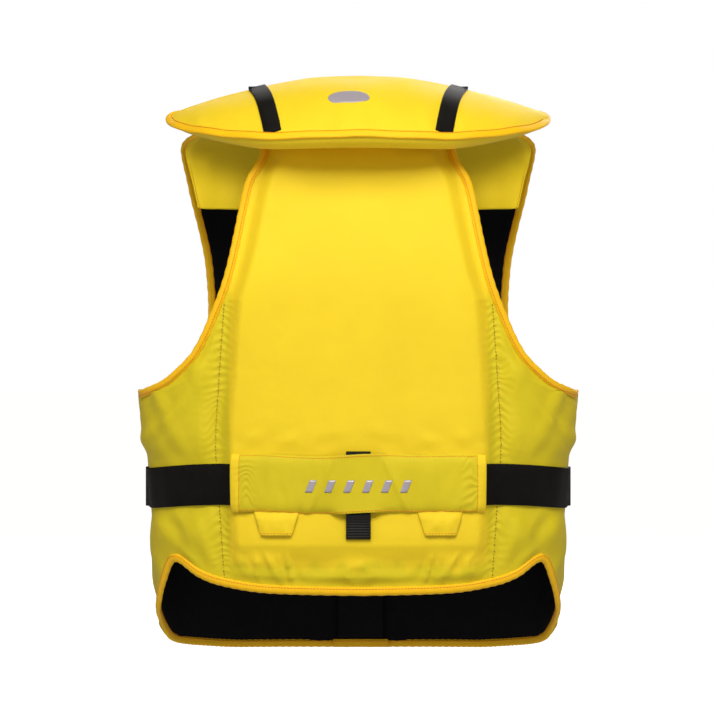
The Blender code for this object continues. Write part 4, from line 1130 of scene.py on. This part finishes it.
def make_collar_patch():
    """Plain reflective oval on the collar."""
    radius = np.linspace(0, 1, 12)[1:][:, None]
    turn = np.linspace(0, 2 * math.pi, 65)[:-1][None, :]
    centre_x, centre_y = -0.0105, -0.1265
    x = centre_x + 0.0230 * radius * np.cos(turn)
    y = centre_y + 0.0125 * radius * np.sin(turn)
    top, normal = surface_on_collar(x, y, 0.0006)
    low, _ = surface_on_collar(x, y, -0.0002)
    middle, _ = surface_on_collar(np.array([centre_x]), np.array([centre_y]), 0.0006)
    base, _ = surface_on_collar(np.array([centre_x]), np.array([centre_y]), -0.0002)
    rows, columns = x.shape
    vertices = np.concatenate([top.reshape(-1, 3), low.reshape(-1, 3), middle, base])
    index = np.arange(rows * columns).reshape(rows, columns)
    step = rows * columns
    faces = []
    for r in range(rows - 1):
        for c in range(columns):
            n = (c + 1) % columns
            faces.append([index[r, c], index[r + 1, c], index[r + 1, n], index[r, n]])
            faces.append([index[r, n] + step, index[r + 1, n] + step, index[r + 1, c] + step, index[r, c] + step])
    for c in range(columns):
        n = (c + 1) % columns
        faces.append([2 * step, index[0, c], index[0, n]])
        faces.append([2 * step + 1, index[0, n] + step, index[0, c] + step])
        faces.append([index[-1, c], index[-1, c] + step, index[-1, n] + step, index[-1, n]])
    patch = face_out(object_from("collar_reflective_oval", vertices, faces, None, REFLECTIVE))
    attach(patch, COLLAR, "reflective_tape", "collar_reflective_patch")


# ================================================================ fronts
def front_grid(columns, below, above):
    heights = rows_of(HEM_Z + EDGE_INSET, FRONT_TOP, below, above)[:, None]
    share = np.linspace(0, 1, columns)[None, :]
    outer, inner = front_edge_angle(heights), zip_edge_angle(heights)
    calm = calm_edge(front_edge_angle, heights)
    angle = mix(calm, inner, share) + (outer - calm) * (1 - share) ** 5
    return angle, heights + hem_shift(angle, heights)


def for_side(points, normals, side):
    """The right front's grid, or its mirror image with the columns turned to keep it facing out."""
    if side == "right":
        return points, normals
    flip = np.array([-1, 1, 1])
    return points[:, ::-1] * flip, normals[:, ::-1] * flip


def make_fronts():
    angle, height = front_grid(170, 130, 150)
    out = front_rise(angle, height)
    soft = smoothstep(0.006, 0.016, out)
    outside = laid(angle, height, out + front_wrinkles(angle, height) * soft)
    angle, height = front_grid(60, 50, 50)
    settled = smoothstep(0.0, 0.10, np.linspace(0, 1, 60)[None, :])
    wave = 0.0009 * noise_a(angle * 9, height / 0.05)
    inside = laid(angle, height, mix(0.0017, 0.0012 + wave, settled))
    for side, sign in SIDES:
        shell = cloth(f"front_panel_{side}", *for_side(*outside, side), SHELL_THICK, SHADED_YELLOW)
        attach(shell, on_front(side), "yellow_fabric", f"front_outer_shell_{side}", f"bladder_lobe_{side}")
        points, normals = for_side(*inside, side)
        lining = cloth(f"front_lining_cloth_{side}", points, normals, LINING_THICK, LINING)
        attach(lining, on_front(side), "black_lining", f"front_lining_{side}")
        make_facing(side)
        make_front_tapes(side, sign)


def make_facing(side):
    heights = np.linspace(FACING_HEIGHT, FRONT_TOP, 60)[:, None]
    share = np.linspace(0, 1, 60)[None, :]
    angle = mix(front_edge_angle(heights), zip_edge_angle(heights), share)
    height = heights + 0 * share
    wave = 0.0006 * noise_a(angle * 9, height / 0.05)
    lift = mix(0.0008, -0.0006 + wave, smoothstep(0.0, 0.10, share))
    points, normals = for_side(*laid(angle, height, lift), side)
    facing = cloth(f"front_facing_cloth_{side}", points, normals, 0.0007, YELLOW)
    attach(facing, on_front(side), "yellow_fabric", f"front_facing_{side}")


def make_front_tapes(side, sign):
    holder = on_front(side)
    line = armhole_line(front_armhole, sign, True, SHOULDER_LINE - 0.001)
    edge_binding(f"front_armhole_tape_{side}", *line, holder, f"front_armhole_binding_{side}")
    angle = np.linspace(SIDE, math.pi - float(angle_of(0.0055, -0.615)), 300) * sign
    edge_binding(f"front_hem_tape_{side}", *hem_line(angle), holder, f"front_hem_binding_{side}")
    heights = np.linspace(-0.612, -0.125, 200)
    points, normals = laid((math.pi - angle_of(0.0150, heights)) * sign, heights, 0.0040)
    way = np.tile([-float(sign), 0, 0], (len(heights), 1))
    band = rounded_band(0.010, TAPE_THICK)
    edge = sweep(f"front_zip_edge_{side}", points - normals * 0.002, way, normals, band, YELLOW)
    attach(edge, f"front_{side}", "yellow_fabric")


def make_zip_guard():
    """Black flap behind the zip, sewn to the right front."""
    heights = np.linspace(-0.606, -0.145, 90)[:, None]
    x = np.linspace(0.030, -0.024, 30)[None, :]
    x, heights = np.broadcast_arrays(x, heights)
    lift = -0.0030 + 0.0007 * noise_a(x / 0.02, heights / 0.03)
    angle = math.pi - signed_angle(x, heights)
    points, normals = laid(angle, heights, lift)
    guard = cloth("zip_guard", points, normals, 0.0009, LINING)
    attach(guard, "front_right", "black_lining")
    across = np.linspace(-0.030, 0.036, 60)
    low = np.full(across.shape, HEM[-1][1] + 0.0008)
    turn = math.pi - signed_angle(across, low)
    line, normals = laid(turn, low, -0.0046)
    down = np.tile([0, 0, -1.0], (len(across), 1))
    band = sweep("zip_guard_hem", line - down * BINDING / 2, down, normals, rounded_band(BINDING, 0.0022), ORANGE)
    seam = line - down * (BINDING - STITCH_INSET) - normals * 0.0002
    thread = stitches("zip_guard_stitches", seam, -normals, THREAD)
    for piece in (band, thread):
        attach(piece, "front_right", "orange_binding")


def make_belt_fronts():
    height = BELT_SIDE_Z
    flat_from = 0.085
    for side, sign, inner_x in (("right", 1, 0.004), ("left", -1, 0.066)):
        end = math.pi - float(angle_of(flat_from, height))
        angle = np.linspace(SIDE, end, 130)
        heights = mix(BELT_HIP_Z, height, smoothstep(SIDE, SIDE + 0.6, angle))
        out = front_rise(angle, heights) + mix(BELT_LIFT, 0.0040, smoothstep(SIDE, SIDE + 0.25, angle))
        curved, _ = laid(angle, heights, out)
        run = np.linspace(0, 1, 50)[1:]
        x = mix(curved[-1, 0], inner_x, run)
        y = mix(curved[-1, 1], 0.1640, smoothstep(0.0, 0.35, run))
        path = np.concatenate([curved, np.stack([x, y, 0 * run + curved[-1, 2]], -1)])
        path = path * np.array([sign, 1, 1])
        upward = np.tile([0, 0, 1.0], (len(path), 1))
        outward = unit(np.cross(tangents(path), upward))
        outward = outward * np.sign((outward * path * np.array([1, 1, 0])).sum(-1, keepdims=True))
        strap = sweep(f"belt_front_strap_{side}", path, upward, outward, rounded_band(BELT_HEIGHT, BELT_THICK),
                      BLACK_WEB)
        attach(strap, on_front(side), "black_webbing", f"belt_front_{side}")


def make_chest_patches():
    for side, sign in (("right", 1), ("left", -1)):
        rows = np.linspace(-0.215, -0.165, 20)[:, None]
        x = np.linspace(0.120, 0.052, 24)[None, :]
        height = rows + 0 * x
        angle = math.pi - angle_of(x + 0 * rows, height)
        out = front_rise(angle, height) + front_wrinkles(angle, height) + 0.0008
        p, n = for_side(*laid(angle, height, out), side)
        patch = cloth(f"chest_reflective_film_{side}", p, n, 0.0007, REFLECTIVE)
        attach(patch, on_front(side), "reflective_tape", f"chest_reflective_patch_{side}")


# ================================================================ carried-over CAD nodes
def repaint():
    finishes = {
        "zip_tape": BLACK_WEB, "zip_teeth": BLACK_PLASTIC, "zip_slider": BLACK_PLASTIC, "zip_pull": BLACK_PLASTIC,
        "buckle": BLACK_PLASTIC, "co2_cylinder": STEEL, "inflator_body": BLACK_PLASTIC,
        "inflator_lever": RED_PLASTIC, "pull_knob": RED_PLASTIC, "oral_tube_cap": WHITE_PLASTIC,
        "oral_": BLACK_PLASTIC, "whistle_holder": BLACK_PLASTIC, "whistle": WHITE_PLASTIC,
    }
    for name, node in NODES.items():
        for start, finish in finishes.items():
            if name.startswith(start):
                for slot in node.material_slots:
                    slot.material = finish
                break


# ================================================================ studio
def area_light(name, place, target, size, watts):
    lamp = bpy.data.lights.new(name, "AREA")
    lamp.shape = "RECTANGLE"
    lamp.size, lamp.size_y = size
    lamp.energy = watts
    piece = bpy.data.objects.new(name, lamp)
    piece.location = place
    piece.rotation_euler = (Vector(target) - Vector(place)).to_track_quat("-Z", "Y").to_euler()
    bpy.context.scene.collection.objects.link(piece)
    return piece


def make_studio():
    scene = bpy.context.scene
    camera = bpy.data.cameras.new("camera")
    camera.sensor_width = 36
    camera.lens = 131
    eye = bpy.data.objects.new("camera", camera)
    eye.location = (-0.002, -3.0, -0.265)
    eye.rotation_euler = (math.pi / 2, 0, 0)
    scene.collection.objects.link(eye)
    scene.camera = eye

    bm = bmesh.new()
    bmesh.ops.create_grid(bm, x_segments=1, y_segments=1, size=30)
    mesh = bpy.data.meshes.new("floor")
    bm.to_mesh(mesh)
    bm.free()
    floor = bpy.data.objects.new("floor", mesh)
    floor.location = (0, 0, -0.72)
    paint, tree, shader = new_material("pale_floor")
    set_sockets(shader, Base_Color=(0.25, 0.25, 0.25, 1), Roughness=0.9, Emission_Color=(1, 1, 1, 1))
    lit = tree.nodes.new("ShaderNodeLightPath")
    seen = tree.nodes.new("ShaderNodeMapRange")
    set_sockets(seen, To_Min=0.22, To_Max=0.97)
    tree.links.new(lit.outputs["Is Camera Ray"], seen.inputs["Value"])
    tree.links.new(seen.outputs["Result"], shader.inputs["Emission Strength"])
    mesh.materials.append(paint)
    scene.collection.objects.link(floor)

    world = bpy.data.worlds.new("studio")
    world.use_nodes = True
    tree = world.node_tree
    backdrop = tree.nodes["Background"]
    set_sockets(backdrop, Color=(1, 1, 1, 1), Strength=1.0)
    fill = tree.nodes.new("ShaderNodeBackground")
    set_sockets(fill, Color=(1.0, 0.66, 0.30, 1), Strength=0.14)
    choose = tree.nodes.new("ShaderNodeMixShader")
    rays = tree.nodes.new("ShaderNodeLightPath")
    tree.links.new(rays.outputs["Is Camera Ray"], choose.inputs["Fac"])
    tree.links.new(fill.outputs[0], choose.inputs[1])
    tree.links.new(backdrop.outputs[0], choose.inputs[2])
    tree.links.new(choose.outputs[0], tree.nodes["World Output"].inputs["Surface"])
    scene.world = world
    scene.view_settings.view_transform = "Standard"

    area_light("key_above", (0.0, -1.74, 1.23), (0, 0, -0.22), (1.7, 1.0), 55)
    area_light("top", (0.0, -0.6, 2.2), (0, 0, -0.1), (1.2, 0.8), 3)
    area_light("side_left", (-1.8, -1.2, -0.3), (0, 0, -0.35), (0.9, 1.3), 6)
    area_light("side_right", (1.8, -1.2, -0.3), (0, 0, -0.35), (0.9, 1.3), 6)
    area_light("front_side", (0.4, 2.6, 0.8), (0, 0, -0.25), (2.0, 1.6), 72)
    inner = area_light("facing_fill", (0.0, -2.9, 0.35), (0, 0, -0.07), (0.9, 0.5), 66)
    seen_by = bpy.data.collections.new("facings")
    for piece in bpy.data.objects:
        if piece.name.startswith("front_facing_cloth"):
            seen_by.objects.link(piece)
    inner.light_linking.receiver_collection = seen_by


make_back()
make_belt_back()
make_collar()
make_fronts()
make_zip_guard()
make_belt_fronts()
make_chest_patches()
repaint()
make_studio()
